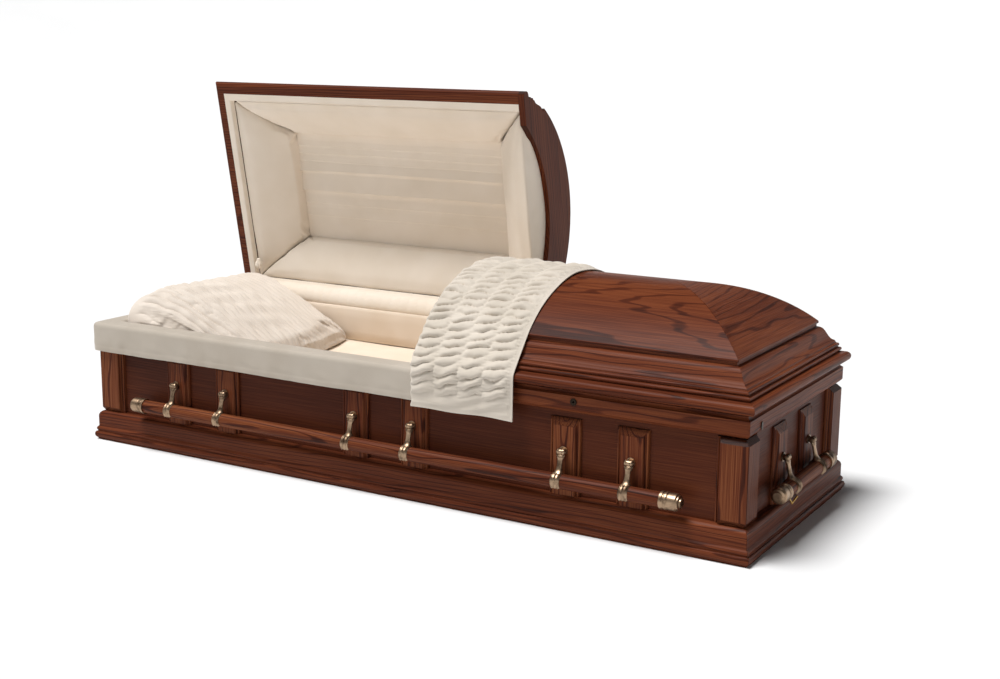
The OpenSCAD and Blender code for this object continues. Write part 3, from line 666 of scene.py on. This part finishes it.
def make_woodwork():
    oak = stained_oak("stained oak")
    upright = stained_oak("stained oak, straight grain", light="86502F", figure=1.2, slope=2)
    veneer = stained_oak("stained oak veneer", "260E08", "4B2213", "62331C", figure=0.3, slope=4)
    board = stained_oak("plain stained board", "2A1710", "4A2A1B", "5E3A28", figure=0.3, slope=4)
    wooden("bottom_board", "case", "x", board, "plain_board")
    for side in SIDES:
        way = "x" if side in ("front", "back") else "y"
        wooden(side + "_wall", "case", way, veneer)
        wooden(side + "_base", "case", way, oak)
        wooden(side + "_rail", "case", way, oak)
        wooden(side + "_pilasters", "case", "z", upright)
        wooden(side + "_bar", side + "_handle", way, upright, ease=0.6 * MM)
    for end in ("head", "foot"):
        for side in ("front", "back"):
            wooden(f"{side}_{end}_post", "case", "z", upright)
        for piece, way in (("rim", "mitred"), ("crown", "crown"), ("end", "y"), ("header", "y")):
            wooden(f"{end}_lid_{piece}", f"{end}_lid", way, oak, open_lid=end == "head")


# ---------- metal pieces ----------

def metal(node, body, finish, slot, ease=0.4 * MM):
    return settle(eased_copy(node, ease, 25), body, slot, finish, node)


def node_places(node, side):
    """Where along its side each separate solid of a node stands."""
    work = bmesh.new()
    work.from_mesh(frame["nodes"][node].data)
    bmesh.ops.remove_doubles(work, verts=work.verts, dist=DOUBLES)
    group = islands(work)
    home = on_side(side).inverted()
    centres = [home @ face.calc_center_median() for face in work.faces]
    work.free()
    xs = np.array([c.x for c in centres])
    return [(xs[group == g].min() + xs[group == g].max()) / 2 for g in range(group.max() + 1)]


def oval(half_x, half_y, z):
    """A ring between a box and an oval at one height."""
    count, squareness = 24, 0.8
    points = []
    for k in range(count):
        c, s = math.cos(TAU * k / count), math.sin(TAU * k / count)
        points.append((
            half_x * math.copysign(abs(c) ** squareness, c), half_y * math.copysign(abs(s) ** squareness, s), z
        ))
    return points


def turned_x(name, outline, count=32, sweep=(0, 360)):
    """A form turned about X from [x, radius] points, whole or over a part of the turn, as a closed shell."""
    full = sweep[1] - sweep[0] >= 360
    steps = count if full else count + 1
    rings = []
    for k in range(steps):
        a = math.radians(sweep[0] + (sweep[1] - sweep[0]) * k / count)
        rings.append([(x, r * math.cos(a), r * math.sin(a)) for x, r in outline])
    columns = len(outline)
    points = [p for ring in rings for p in ring]
    faces = grid_faces(steps, columns, wrap=True)
    if full:
        faces += [
            ((steps - 1) * columns + c, (steps - 1) * columns + (c + 1) % columns, (c + 1) % columns, c)
            for c in range(columns)
        ]
    else:
        faces += [tuple(range(columns)), tuple((steps - 1) * columns + c for c in reversed(range(columns)))]
    return close_up(mesh_object(name, points, faces), sharp=40)


PIVOT_OUT = -joints["front_handle_swing"]["pos_m"][1] - HALF_W
PIVOT_Z = joints["front_handle_swing"]["pos_m"][2]
bar_low, bar_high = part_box("front_bar")
BAR_R = (bar_high.z - bar_low.z) / 2
BAR_OUT, BAR_Z = -(bar_low.y + bar_high.y) / 2 - HALF_W, (bar_low.z + bar_high.z) / 2
ARM_L = math.hypot(BAR_OUT - PIVOT_OUT, PIVOT_Z - BAR_Z)
ARM_LEAN = math.atan2(BAR_OUT - PIVOT_OUT, PIVOT_Z - BAR_Z)


def arm_shape():
    """Cast arm: two rounded ears, a collar, a slim neck and a ribbed saddle over the front of the bar."""
    ear = [(4.9, 0.1), (4.9, 7.6), (6, 8.6), (8.5, 8.4), (10.5, 7), (12, 4.6), (12.6, 0.1)]
    ears = [turned_x("ear", [(s * x * MM, r * MM) for x, r in ear], 24) for s in (-1, 1)]
    clamp = ARM_L - BAR_R - 3.6 * MM
    stations = [
        (-6 * MM, 11.5, 3.4), (-9 * MM, 12, 5), (-11 * MM, 11.2, 5.6), (-12.5 * MM, 9.4, 4.6),
        (-14 * MM, 9.8, 5.2), (-15.5 * MM, 9.6, 5.2), (-17.5 * MM, 7.8, 4.6),
        (-22 * MM, 7.0, 4.5), (-29 * MM, 6.8, 4.6),
        (-clamp + 12 * MM, 7.2, 4.8), (-clamp + 6 * MM, 8.4, 5.6), (-clamp + 1 * MM, 10.5, 8),
        (-clamp - 3 * MM, 12.6, 11), (-clamp - 5 * MM, 12.6, 12)
    ]
    neck = closed_tube("neck", [oval(x * MM, y * MM, z) for z, x, y in stations])
    # Three ribs in relief on a saddle that thins at its ends
    inner, half, rib_apart = BAR_R + 0.2 * MM, 13, 8.7
    ribs = []
    for x in range(-half, half + 1):
        fullness = 1.5 * max(0, math.cos(TAU * x / rib_apart)) ** 2 + 2.6 - 2.2 * (abs(x) / half) ** 6
        ribs.append((x * MM, inner + fullness * MM))
    saddle = turned_x("saddle", [(-half * MM, inner)] + ribs + [(half * MM, inner)], 36, (2, 238))
    moved_by(saddle, Matrix.Translation((0, 0, -ARM_L)))
    return joined("arm", ears + [neck, saddle])


def make_hardware():
    bronze = antique_metal("antique bronze plating", "463528", "A68D74", 0.38, grit=22 * MM)
    blackened = antique_metal("blackened bronze", "15110E", "2E2620", 0.45)
    nickel = antique_metal("dull nickel", "383430", "58534E", 0.45)
    brass = antique_metal("brass wire", "8F6A25", "D8A84E", 0.26)
    arm = arm_shape()
    hang = Matrix.Translation((0, -PIVOT_OUT, PIVOT_Z)) @ Matrix.Rotation(-ARM_LEAN, 4, "X")
    moved_by(arm, hang)
    row = piece_row()
    for side in SIDES:
        places = [(x, 0, 0) for x in node_places(side + "_arms", side)]
        made = grown(side + "_cast_arms", places, row, Piece=arm, Finish=bronze)
        moved_by(made, on_side(side))
        shade_smooth(made, 40)
        settle(made, side + "_handle", "antique_bronze", bronze, side + "_arms")
        metal(side + "_tips", side + "_handle", bronze, "antique_bronze")
    bpy.data.objects.remove(arm)
    metal("handle_lugs", "case", bronze, "antique_bronze")
    metal("case_hinge_leaves", "case", bronze, "antique_bronze", 0.3 * MM)
    metal("head_lid_leaves", "head_lid", bronze, "antique_bronze", 0.3 * MM)
    metal("foot_lid_leaves", "foot_lid", bronze, "antique_bronze", 0.3 * MM)
    metal("lock", "case", blackened, "dark_metal", 0.5 * MM)
    metal("rail_cap", "case", nickel, "grey_metal", 0.8 * MM)
    metal("casket_key", "foot_handle", brass, "brass", 0.4 * MM)


# ---------- cloth pieces ----------

def ease_in(x):
    """Rises smoothly from 0 at 0 to 1 at 1."""
    x = np.clip(x, 0, 1)
    return x * x * (3 - 2 * x)


def make_apron(finish):
    """Thinly padded band over the front rail and round to the head rail, its lower hem hanging free."""
    low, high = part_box("apron")
    out, top = -low.y - HALF_W, high.z
    fall = smooth_path([
        (-33 * MM, top - 15 * MM), (-32.5 * MM, top - 5 * MM), (-28.5 * MM, top - 1.6 * MM),
        (out - 7 * MM, top - 1.6 * MM), (out - 2.6 * MM, top - 9 * MM),
        (out - 2.8 * MM, low.z + 30 * MM), (out - 4 * MM, low.z + 1.5 * MM)
    ], 3 * MM, 3 * MM)
    step = 7 * MM
    front = np.arange(high.x, -HALF_L + 12 * MM, -step)
    turn = np.radians(np.linspace(0, 90, 13))
    side = np.arange(-HALF_W + 12 * MM, high.y, step)
    base = [(x, -HALF_W) for x in front] + [(-HALF_L, -HALF_W)] * len(turn) + [(-HALF_L, y) for y in side]
    square = 1 + 0.8 * (1 / np.maximum(np.cos(turn), np.sin(turn)) - 1)
    corner = list(zip(-np.sin(turn) * square, -np.cos(turn) * square))
    away = [(0, -1)] * len(front) + corner + [(-1, 0)] * len(side)
    base, away = np.array(base), np.array(away)
    run = np.concatenate([-front, HALF_L + turn * 10 * MM, HALF_L + HALF_W + side])[:, None]
    rows = np.zeros((len(base), len(fall), 3))
    hang = (ease_in((top - 12 * MM - fall[:, 1]) / (60 * MM)) * (fall[:, 0] > 0))[None, :]
    wave = (1.3 * drift(run, 0 * hang, 0.17, 3) + 0.6 * drift(run, fall[None, :, 1], 0.05, 4)) * hang * MM
    o = fall[None, :, 0] + wave - 0.6 * MM * hang
    rows[..., 0] = base[:, None, 0] + away[:, None, 0] * o
    rows[..., 1] = base[:, None, 1] + away[:, None, 1] * o
    rows[..., 2] = fall[None, :, 1] + 1.2 * MM * drift(run, 0 * hang, 0.3, 8) * hang
    # What lies inside the walls meets in a mitre at the corner
    rows[..., 0] = np.where(o < 0, np.maximum(rows[..., 0], -HALF_L - o), rows[..., 0])
    rows[..., 1] = np.where(o < 0, np.maximum(rows[..., 1], -HALF_W - o), rows[..., 1])
    thick = 2.8 * MM + 2.2 * MM * hang * np.ones((len(base), 1))
    thick[:, -5:] += 1.2 * MM
    made = cloth("apron_band", rows, thick)
    settle(made, "case", "crepe_ivory", finish, "apron")


def make_throw(finish):
    """Shirred throw over the cut end of the foot lid: lines of fine gathers down it, with rows of leaf-shaped
    puffs between them, a plain hem in front, and a gathered curtain turned down over the cut end."""
    low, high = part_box("throw")
    out, radius = -low.y - 6.5 * MM, CROWN_R + 3.5 * MM
    edge = math.asin((CROWN_HALF + 2 * MM) / radius)
    crown = [(radius * math.sin(a), CROWN_CZ + radius * math.cos(a)) for a in np.linspace(-edge, edge, 60)]
    hang_top = RIM_Z + 21 * MM
    slope = (crown[0][1] - hang_top) / (out + crown[0][0])
    back = (high.y, hang_top + slope * (out - high.y))
    step, pitch, turned = 2.9 * MM, 26 * MM, 7 * MM
    path = smooth_path([(-out, low.z), (-out, hang_top)] + crown + [back], step, 8 * MM)
    along = np.gradient(path, axis=0)
    along /= np.linalg.norm(along, axis=1, keepdims=True)
    outward = np.stack([-along[:, 1], along[:, 0]], axis=1)
    lift = np.concatenate([np.zeros((len(path), 1)), outward], axis=1)
    v = (np.arange(len(path)) * step)[None, :]

    left = low.x + 4.5 * MM
    width = high.x - left
    u = np.linspace(0, width, 92)[:, None]
    lines = np.array([-40, 17, 88, 162, 236, 318]) * MM
    column = np.clip(np.searchsorted(lines, u[:, 0], "right") - 1, 0, len(lines) - 2)
    place = ((u[:, 0] - lines[column]) / (lines[column + 1] - lines[column]))[:, None]
    full = np.sin(np.pi * place)
    full[u[:, 0] < lines[1]] = 0
    shift = np.array([0, 0.5, 0.05, 0.6, 0.15])[column][:, None] * pitch
    v_wave = v + 0.22 * u + shift + 6 * MM * drift(u, v, 0.1, 11) + 2.5 * MM * drift(u, v, 0.045, 18)
    # Each puff swells slowly from above and turns in sharply below
    lean = np.mod(v_wave / pitch, 1) ** 0.62
    puff = np.sin(np.pi * lean) ** 0.9 * full ** 0.6
    puff *= 0.85 + 0.3 * drift(u, v, 0.06, 12)
    fine = np.abs(np.cos(np.pi * (v + 2 * MM * drift(u, v, 0.05, 13)) / (9 * MM))) * (1 - full) ** 1.3
    from_hem = ease_in((v - 22 * MM) / (55 * MM))
    edge_hem = ease_in((u - 6 * MM) / (6 * MM))
    long_folds = 3.2 * MM * (0.5 + 0.5 * np.cos(TAU * (v + 0.35 * u) / (47 * MM) + 2 * drift(u, v, 0.2, 14)))
    height = (12.5 * MM * puff + 3 * MM * fine) * from_hem * edge_hem
    height += long_folds * (1 - from_hem) * ease_in((v - 4 * MM) / (16 * MM)) * edge_hem
    height += 1.2 * MM * drift(u, v, 0.16, 15) * ease_in(v / (20 * MM))
    turn_in = np.sqrt(np.clip(1 - ((u - width + 9 * MM) / (9 * MM)).clip(0, 1) ** 2, 0, 1))
    height *= 0.35 + 0.65 * turn_in
    main = np.zeros((len(u), len(path), 3))
    scallop = ease_in((u - width + 30 * MM) / (30 * MM)) * (0.5 + 0.5 * np.cos(TAU * v_wave / pitch))
    main[..., 0] = high.x - u - 3.5 * MM * scallop
    main[..., 1] = path[None, :, 0] + outward[None, :, 0] * height
    main[..., 2] = path[None, :, 1] + outward[None, :, 1] * height
    main[..., 2] += (1 - from_hem) * 2.5 * MM * drift(u, 0 * v, 0.13, 16)

    # The curtain drops from the throw's left edge, and where nothing is behind, that edge only turns in
    over_lid = ease_in((path[:, 1] - hang_top - 4 * MM) / (22 * MM))[None, :, None]
    low_z = RIM_Z + 4.5 * MM
    drop = np.maximum(path[:, 1] - low_z, turned)[None, :, None]
    down = np.array([0, 0, -1.0]) * over_lid
    inside = -lift[None] * (1 - over_lid)
    t = np.linspace(0, 1, 26)[1:, None, None]
    folds = np.cos(TAU * (v + 5 * MM * drift(t[..., 0], v, 0.4, 17)) / (23 * MM))[..., None]
    curtain = main[-1:, :, :] + (down + inside) * (drop * over_lid + turned * (1 - over_lid)) * t
    curtain[..., 0] -= (1.5 * MM * ease_in(t * 8) * (1 + folds * 0.8))[..., 0] * over_lid[..., 0]
    rows = np.concatenate([main, curtain])
    thick = np.full(rows.shape[:2], 2.4 * MM)
    thick[:, :6] += 1.0 * MM
    made = cloth("throw_drape", rows, thick, sharp=80)
    settle(made, "foot_lid", "shirred_ivory", finish, "throw")
    # Two lines of stitching hold the hems along its lower and its foot-side edges
    over = main + lift[None] * 1.5 * MM
    stitching = stitch_row()
    sewing = []
    for name, seam in (("lower_seam", over[:-4, 7]), ("side_seam", over[4, 2:-2])):
        edges = [(i, i + 1) for i in range(len(seam) - 1)]
        sewing.append(grown(
            name, seam, stitching, edges, Spacing=7 * MM, Length=5 * MM, Thread=0.9 * MM, Finish=finish
        ))
    stitches = joined("throw_stitches", sewing)
    settle(stitches, "foot_lid", "shirred_ivory", finish)


def make_pillow(finish):
    """Wide pillow in pleated crepe: tucks run down its slope from the head end, deepest at the front."""
    low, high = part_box("pillow")
    x0, y1, rise = low.x + 14 * MM, high.y - 4 * MM, high.z - BED_TOP - 6 * MM
    length = high.x - 5 * MM - x0
    # Its outline from the head end, [share of the length, share of the height]: it leans on the head rail
    outline = [
        (0.02, 0), (0, 0.3), (0, 0.56), (-0.02, 0.64), (-0.028, 0.76), (-0.018, 0.88), (0.02, 0.965),
        (0.07, 1), (0.14, 1.01), (0.22, 1), (0.32, 0.955), (0.44, 0.85), (0.56, 0.71), (0.68, 0.55),
        (0.78, 0.41), (0.87, 0.29), (0.92, 0.19), (0.935, 0.09), (0.93, 0), (0.7, 0), (0.45, 0), (0.25, 0)
    ]
    loop = smooth_path(outline + outline[:1], 0.012, 0.008)[:-1]

    def form(name, count):
        rings = []
        for b in np.sin(np.linspace(-math.pi / 2, math.pi / 2, count)):
            full = max(1 - abs(b) ** 9, 0) ** 0.4
            plan = 0.965 + 0.035 * full
            # Its foot edge curves away towards the back
            short = 1 - 0.11 * max(0, b + 0.1) ** 1.5
            rings.append([(
                x0 + length * (0.5 + (t - 0.5) * plan) * (short if t > 0.1 else 1), y1 * b,
                BED_TOP + 1 * MM + rise * h * (0.55 + 0.45 * full)
            ) for t, h in loop])
        return closed_tube(name, rings)

    # The pad is swelled, then covered by a finer mesh whose rows follow the tucks
    pad = swell(form("pad", 61), 8 * MM, lambda p: p[:, 2] < BED_TOP + 4 * MM)
    made = form("pleated_pillow", 351)
    cover = made.modifiers.new("cover", "SHRINKWRAP")
    cover.target, cover.wrap_method = pad, "NEAREST_SURFACEPOINT"
    finished(made)
    bpy.data.objects.remove(pad)
    shade_smooth(made, 180)

    def tucks(p, n):
        x, y = p[:, 0], p[:, 1]
        up = ease_in((n[:, 2] - 0.1) / 0.5) * ease_in((x - x0 - 20 * MM) / 0.05)
        slant = y + x * 0.04 + 4 * MM * drift(x, y, 0.12, 21)
        fade = 1.25 - 0.9 * ease_in((y + 0.1) / 0.3)
        fade = fade * (1 - 0.5 * ease_in((x + 0.66) / 0.1))
        slant = slant + 1.2 * MM * drift(x, 0.3 * y, 0.05, 25)
        pleat = np.abs(np.cos(np.pi * slant / (22 * MM))) ** 0.7
        pleat = pleat * (0.8 + 0.35 * drift(x, y, 0.045, 26))
        crumple = 1.2 * MM * drift(x, y, 0.07, 23) * ease_in((-0.1 - y) / 0.15) * ease_in((-0.78 - x) / 0.1)
        soft = 1.6 * MM * drift(x, y, 0.16, 24)
        return up * (8 * MM * pleat * fade + crumple + soft)

    relief(made, tucks)
    settle(made, "case", "pleated_ivory", finish, "pillow")
    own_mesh(made)


ROLL_LOW, ROLL_RISE, ROLL_T = 6.5 * MM, 103 * MM, 40 * MM
SEAT = 0.3 * MM
ROLLS = ("front", "back", "end", "cut")
# How far the rolls reach in over the well: the one at the cut, the one at the far end and those at the sides
CUT_DEPTH, END_DEPTH, SIDE_DEPTH = 141 * MM, 163.7 * MM, 127.7 * MM


def lid_well(cut):
    """Plan of a closed lid's lining: outer and inner edges at the cut end, at the far end and at each side."""
    outer = (cut + HEADER + SEAT, INNER_L - SEAT, INNER_W - SEAT)
    inner = (cut + HEADER + CUT_DEPTH, outer[1] - END_DEPTH, outer[2] - SIDE_DEPTH)
    return outer, inner


def roll_section(depth, back, inset, puff):
    """Section of a padded roll, [in, up]: a full face from the rim to the well, a round lip and a flat back."""
    z0 = RIM_Z + ROLL_LOW + inset
    slope = math.hypot(depth, ROLL_RISE)
    n = (ROLL_RISE / slope, -depth / slope)
    loop = []
    for q in np.linspace(0, 1, 15):
        bulge = puff * math.sin(math.pi * q) ** 0.6
        loop.append((inset + (depth - 2 * inset) * q + n[0] * bulge, z0 + ROLL_RISE * q + n[1] * bulge))
    top = z0 + ROLL_RISE
    lip = ROLL_T / 2 - inset
    for a in np.linspace(-60, 80, 7):
        c, s = math.cos(math.radians(a)), math.sin(math.radians(a))
        loop.append((depth - inset - lip * 0.5 + lip * 0.5 * c, top + lip + lip * s))
    loop += [(depth * q, top + 2 * lip + (back - top - 2 * lip) * (1 - q)) for q in (0.75, 0.5, 0.25)]
    return loop + [(inset, back - inset), (inset, (back + z0) / 2)]


def lid_roll(name, kind, cut, inset, simulate=True):
    """One roll of a closed lid's lining, mitred into its neighbours: front, back, end or cut."""
    outer, inner = lid_well(cut)
    level = RIM_Z + ROLL_LOW + ROLL_T
    puff = 13 * MM if kind == "back" else 8 * MM
    rings = []
    for s in np.linspace(0, 1, 49):
        if kind in ("front", "back"):
            depth, sign = outer[2] - inner[2], (-1 if kind == "front" else 1)
            loop = roll_section(depth, level, inset, puff)
            ends = [(
                outer[0] + (inner[0] - outer[0]) * d / depth + inset,
                outer[1] + (inner[1] - outer[1]) * d / depth - inset
            ) for d, _ in loop]
            rings.append([
                (lo + (hi - lo) * s, sign * (outer[2] - d), z) for (lo, hi), (d, z) in zip(ends, loop)
            ])
        else:
            depth = outer[1] - inner[1] if kind == "end" else inner[0] - outer[0]
            back = level
            if kind == "cut":
                y = (2 * s - 1) * outer[2]
                crest = CREST_Z - 25 * MM
                trim = (outer[2] ** 2 + (crest - level) ** 2) / (2 * (crest - level))
                back = crest - trim + math.sqrt(trim * trim - y * y)
            loop = roll_section(depth, back, inset, puff)
            half = [outer[2] + (inner[2] - outer[2]) * d / depth - inset for d, _ in loop]
            place = (lambda d: outer[1] - d) if kind == "end" else (lambda d: outer[0] + d)
            rings.append([(place(d), (2 * s - 1) * h, z) for h, (d, z) in zip(half, loop)])
    made = closed_tube(name, rings)
    if simulate:
        z_face = RIM_Z + ROLL_LOW + ROLL_RISE + ROLL_T / 2
        swell(made, 7 * MM, lambda p: p[:, 2] > z_face + 8 * MM)
        relief(made, lambda p, n: 0.8 * MM * drift(p[:, 0] * 0.5, p[:, 1], 0.12, len(kind)))
    return made


def rim_cloth(kind, cut):
    """The lining's edge, turned out over the flat underside of the rim and tacked there: front, back or end."""
    turned = smooth_path([
        (-19.5 * MM, -0.25 * MM), (0.5 * MM, -0.25 * MM), (2.5 * MM, 1.5 * MM), (6 * MM, 15 * MM)
    ], 1 * MM, 0.7 * MM)
    inward, up = turned[:, 0], turned[:, 1]
    s = np.linspace(0, 1, 100)[:, None]
    near = cut + HEADER + SEAT
    if kind == "end":
        x, y = INNER_L - inward + 0 * s, (2 * s - 1) * (INNER_W - inward)
    else:
        x, y = near + (INNER_L - inward - near) * s, (-1 if kind == "front" else 1) * (INNER_W - inward) + 0 * s
    rows = np.stack([x, y, RIM_Z + up + 0 * s], axis=2)
    return cloth("edge", rows, 0.4 * MM + 0.8 * MM * ease_in(up / (6 * MM)) + 0 * s)


def cap_sheet(name, cut):
    """Panel at the top of the well, in lengthwise tucks that each lap the cloth behind: two broad ones
    across its middle, and pin tucks to the front and back of them."""
    outer, inner = lid_well(cut)
    x = np.linspace(inner[0] - 6 * MM, inner[1] + 6 * MM, 45)[:, None]
    y = np.linspace(-inner[2] - 6 * MM, inner[2] + 6 * MM, 300)[None, :]
    fall = 0 * x + 0 * y
    for share, height, run in (
        (0.13, 2, 20), (0.2, 2, 20), (0.27, 2, 20),
        (0.36, 8, 34), (0.55, 8, 60), (0.67, 1.6, 30), (0.79, 1.6, 30)
    ):
        past = y - (2 * share - 1) * inner[2] - 1.5 * MM * drift(x, y, 0.5, int(100 * share))
        fall = fall + height * MM * np.clip(1 + past / (run * MM), 0, 1) * ease_in(-past / (1.5 * MM))
    z = RIM_Z + ROLL_LOW + ROLL_RISE + 15.5 * MM - fall - 0.7 * MM * drift(x, y, 0.1, 32)
    rows = np.stack([x + 0 * y, y + 0 * x, z], axis=2)
    return rows, cloth(name, rows, 1.6 * MM, sharp=60)


def make_lid_linings(finish):
    turn = OPENED @ MIRRORED
    for kind in ROLLS:
        made = lid_roll("pad", kind, HEAD_CUT, 1.5 * MM)
        made = joined(kind + "_padded_roll", [made] + ([rim_cloth(kind, HEAD_CUT)] if kind != "cut" else []))
        shade_smooth(made, 70)
        moved_by(made, turn)
        settle(made, "head_lid", "crepe_ivory", finish, kind + "_roll")
    rows, made = cap_sheet("tucked_cap_panel", HEAD_CUT)
    moved_by(made, turn)
    settle(made, "head_lid", "crepe_ivory", finish, "cap_panel")
    parts = [lid_roll("foot_" + kind, kind, FOOT_CUT, 2 * MM, simulate=False) for kind in ROLLS]
    parts.append(cap_sheet("foot_panel", FOOT_CUT)[1])
    made = joined("foot_lid_padding", parts)
    shade_smooth(made, 60)
    settle(made, "foot_lid", "crepe_ivory", finish, "foot_lid_lining")


def make_case_linings(finish):
    """The bed, a low cushion nearly flat on top, and the padded lining round the walls."""
    low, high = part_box("bed")
    a, b = np.linspace(-1, 1, 121)[:, None], np.linspace(-1, 1, 61)[None, :]
    x, y = high.x * a + 0 * b, high.y * b + 0 * a
    dome = np.clip(1 - np.abs(a) ** 30, 0, 1) ** 0.4 * np.clip(1 - np.abs(b) ** 12, 0, 1) ** 0.4
    ripple = 1.6 * MM * drift(x, y, 0.35, 41) - 1.5 * MM
    top = np.stack([x, y, high.z - 3 * MM + 3 * MM * dome + ripple], axis=2)
    bottom = np.stack([x, y, low.z + 0.2 * MM + 0 * x], axis=2)
    made = pad_form("bed_mattress", top, bottom)
    settle(made, "case", "crepe_blush", finish, "bed")

    # The wall lining runs round the case with round corners, and is a little fuller at mid-height
    low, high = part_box("side_lining")
    turn, clear = 26 * MM, 4 * MM
    spots = []
    for cx, cy, start in ((1, -1, -90), (1, 1, 0), (-1, 1, 90), (-1, -1, 180)):
        for t in np.linspace(0, 90, 13):
            a = math.radians(start + t)
            spots.append((
                cx * (high.x - clear - turn) + turn * math.cos(a),
                cy * (high.y - clear - turn) + turn * math.sin(a)
            ))
    spots.append(spots[0])
    spots = np.array(spots)
    run = np.concatenate([[0], np.cumsum(np.linalg.norm(np.diff(spots, axis=0), axis=1))])
    at = np.linspace(0, run[-1], 620)[:-1]
    ring = np.stack([np.interp(at, run, spots[:, k]) for k in (0, 1)], axis=1)
    ahead = np.roll(ring, -1, axis=0) - np.roll(ring, 1, axis=0)
    ahead /= np.linalg.norm(ahead, axis=1, keepdims=True)
    inward = np.stack([-ahead[:, 1], ahead[:, 0]], axis=1)
    # Its section, [inwards, up] in mm
    face = [
        (0, -4), (5.5, 1), (7.2, 30), (7.2, 70), (6, 96), (3, 104), (0, 106.5),
        (-3.3, 106), (-3.5, 60), (-3.5, -3)
    ]
    rings = []
    for k, spot in enumerate(ring):
        full = 1 + 0.16 * drift(at[k], 0, 0.14, 42)
        loop = []
        for o, z in face:
            o = o * full if o > 0 else o
            loop.append((
                spot[0] + inward[k, 0] * o * MM, spot[1] + inward[k, 1] * o * MM, low.z + z * MM + 0.3 * MM
            ))
        rings.append(loop)
    columns = len(face)
    points = [p for loop in rings for p in loop]
    faces = grid_faces(len(rings), columns, wrap=True)
    last = (len(rings) - 1) * columns
    faces += [(last + c, last + (c + 1) % columns, (c + 1) % columns, c) for c in range(columns)]
    made = close_up(mesh_object("wall_lining", points, faces), sharp=60)
    settle(made, "case", "crepe_blush", finish, "side_lining")


def make_gusset(finish):
    """Gathered strip that rolls round the hinge line, from the case lining to the open lid."""
    low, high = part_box("hinge_gusset")
    x = np.linspace(low.x, high.x, 420)[:, None]
    turn = np.linspace(math.radians(-10), LID_OPEN + math.radians(3), 22)[None, :]
    puffs = np.abs(np.cos(np.pi * (x + 4 * MM * drift(x, turn, 0.1, 51)) / (34 * MM))) ** 0.6
    full = np.sin(np.pi * (turn - turn.min()) / np.ptp(turn)).clip(0) ** 0.5
    radius = 42.3 * MM + (3 + 1.2 * puffs) * MM * full
    rows = np.stack([
        x + 0 * turn, HINGE.y - radius * np.cos(turn), HINGE.z + radius * np.sin(turn)
    ], axis=2)
    made = cloth("hinge_gusset_strip", rows, 2.4 * MM)
    made.data.materials.append(finish)
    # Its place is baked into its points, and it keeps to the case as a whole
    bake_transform(made)
    settle(made, "case", "crepe_ivory", finish, "hinge_gusset")

    # Its end is puckered into a tuft and tacked to the lid at the corner by the head
    place = Vector((-0.972, 0.3225, 0.462))
    turn = np.linspace(0, TAU, 73)[:-1]
    rings = []
    for rise, radius in ((-17, 5), (-14, 9.5), (-8, 12), (-1, 12.5), (6, 10), (11, 6.5), (15, 7.5), (18, 4)):
        r = radius * MM * (1 + 0.13 * np.cos(8 * turn + rise * 0.08) + 0.06 * np.cos(3 * turn + 1))
        rings.append(np.stack([
            place.x + r * np.cos(turn), place.y + 0.7 * r * np.sin(turn), place.z + rise * MM + 0 * turn
        ], axis=1))
    made = closed_tube("gusset_tuft", rings)
    shade_smooth(made, 80)
    settle(made, "head_lid", "crepe_ivory", finish)


def make_soft_goods():
    # This ivory is the lightest of the crepes: painted light on the lid lining and gusset, which the lamps
    # reach little
    ivory = crepe("ivory crepe", "ECE0D1", "E6D9C8")
    # The bed's and walls' lining is the same ivory crepe, tinted warmer and darker: painted glow of light
    # bounced inside the case, and painted shade
    warm_glow_crepe = crepe("ivory crepe over the bed", "E2D2C0", "DCCAB5")
    # The throw's crepe is tinted darker than the lid's: painted shade on its hanging front
    shirred = crepe("shirred ivory crepe", "CDC3B6", "C2B8AA", 1.8 * MM, 0.25 * MM)
    pleated = crepe("pleated ivory crepe", "D8CDC1", "D0C4B7", 1.8 * MM, 0.2 * MM)
    # The apron's ivory crepe is tinted darker than the lid's: painted shade on its front
    make_apron(crepe("padded ivory crepe", "B4AA9D", "ACA193"))
    make_throw(shirred)
    make_pillow(pleated)
    make_lid_linings(ivory)
    make_case_linings(warm_glow_crepe)
    make_gusset(ivory)


set_camera()
set_studio()
make_woodwork()
make_hardware()
make_soft_goods()
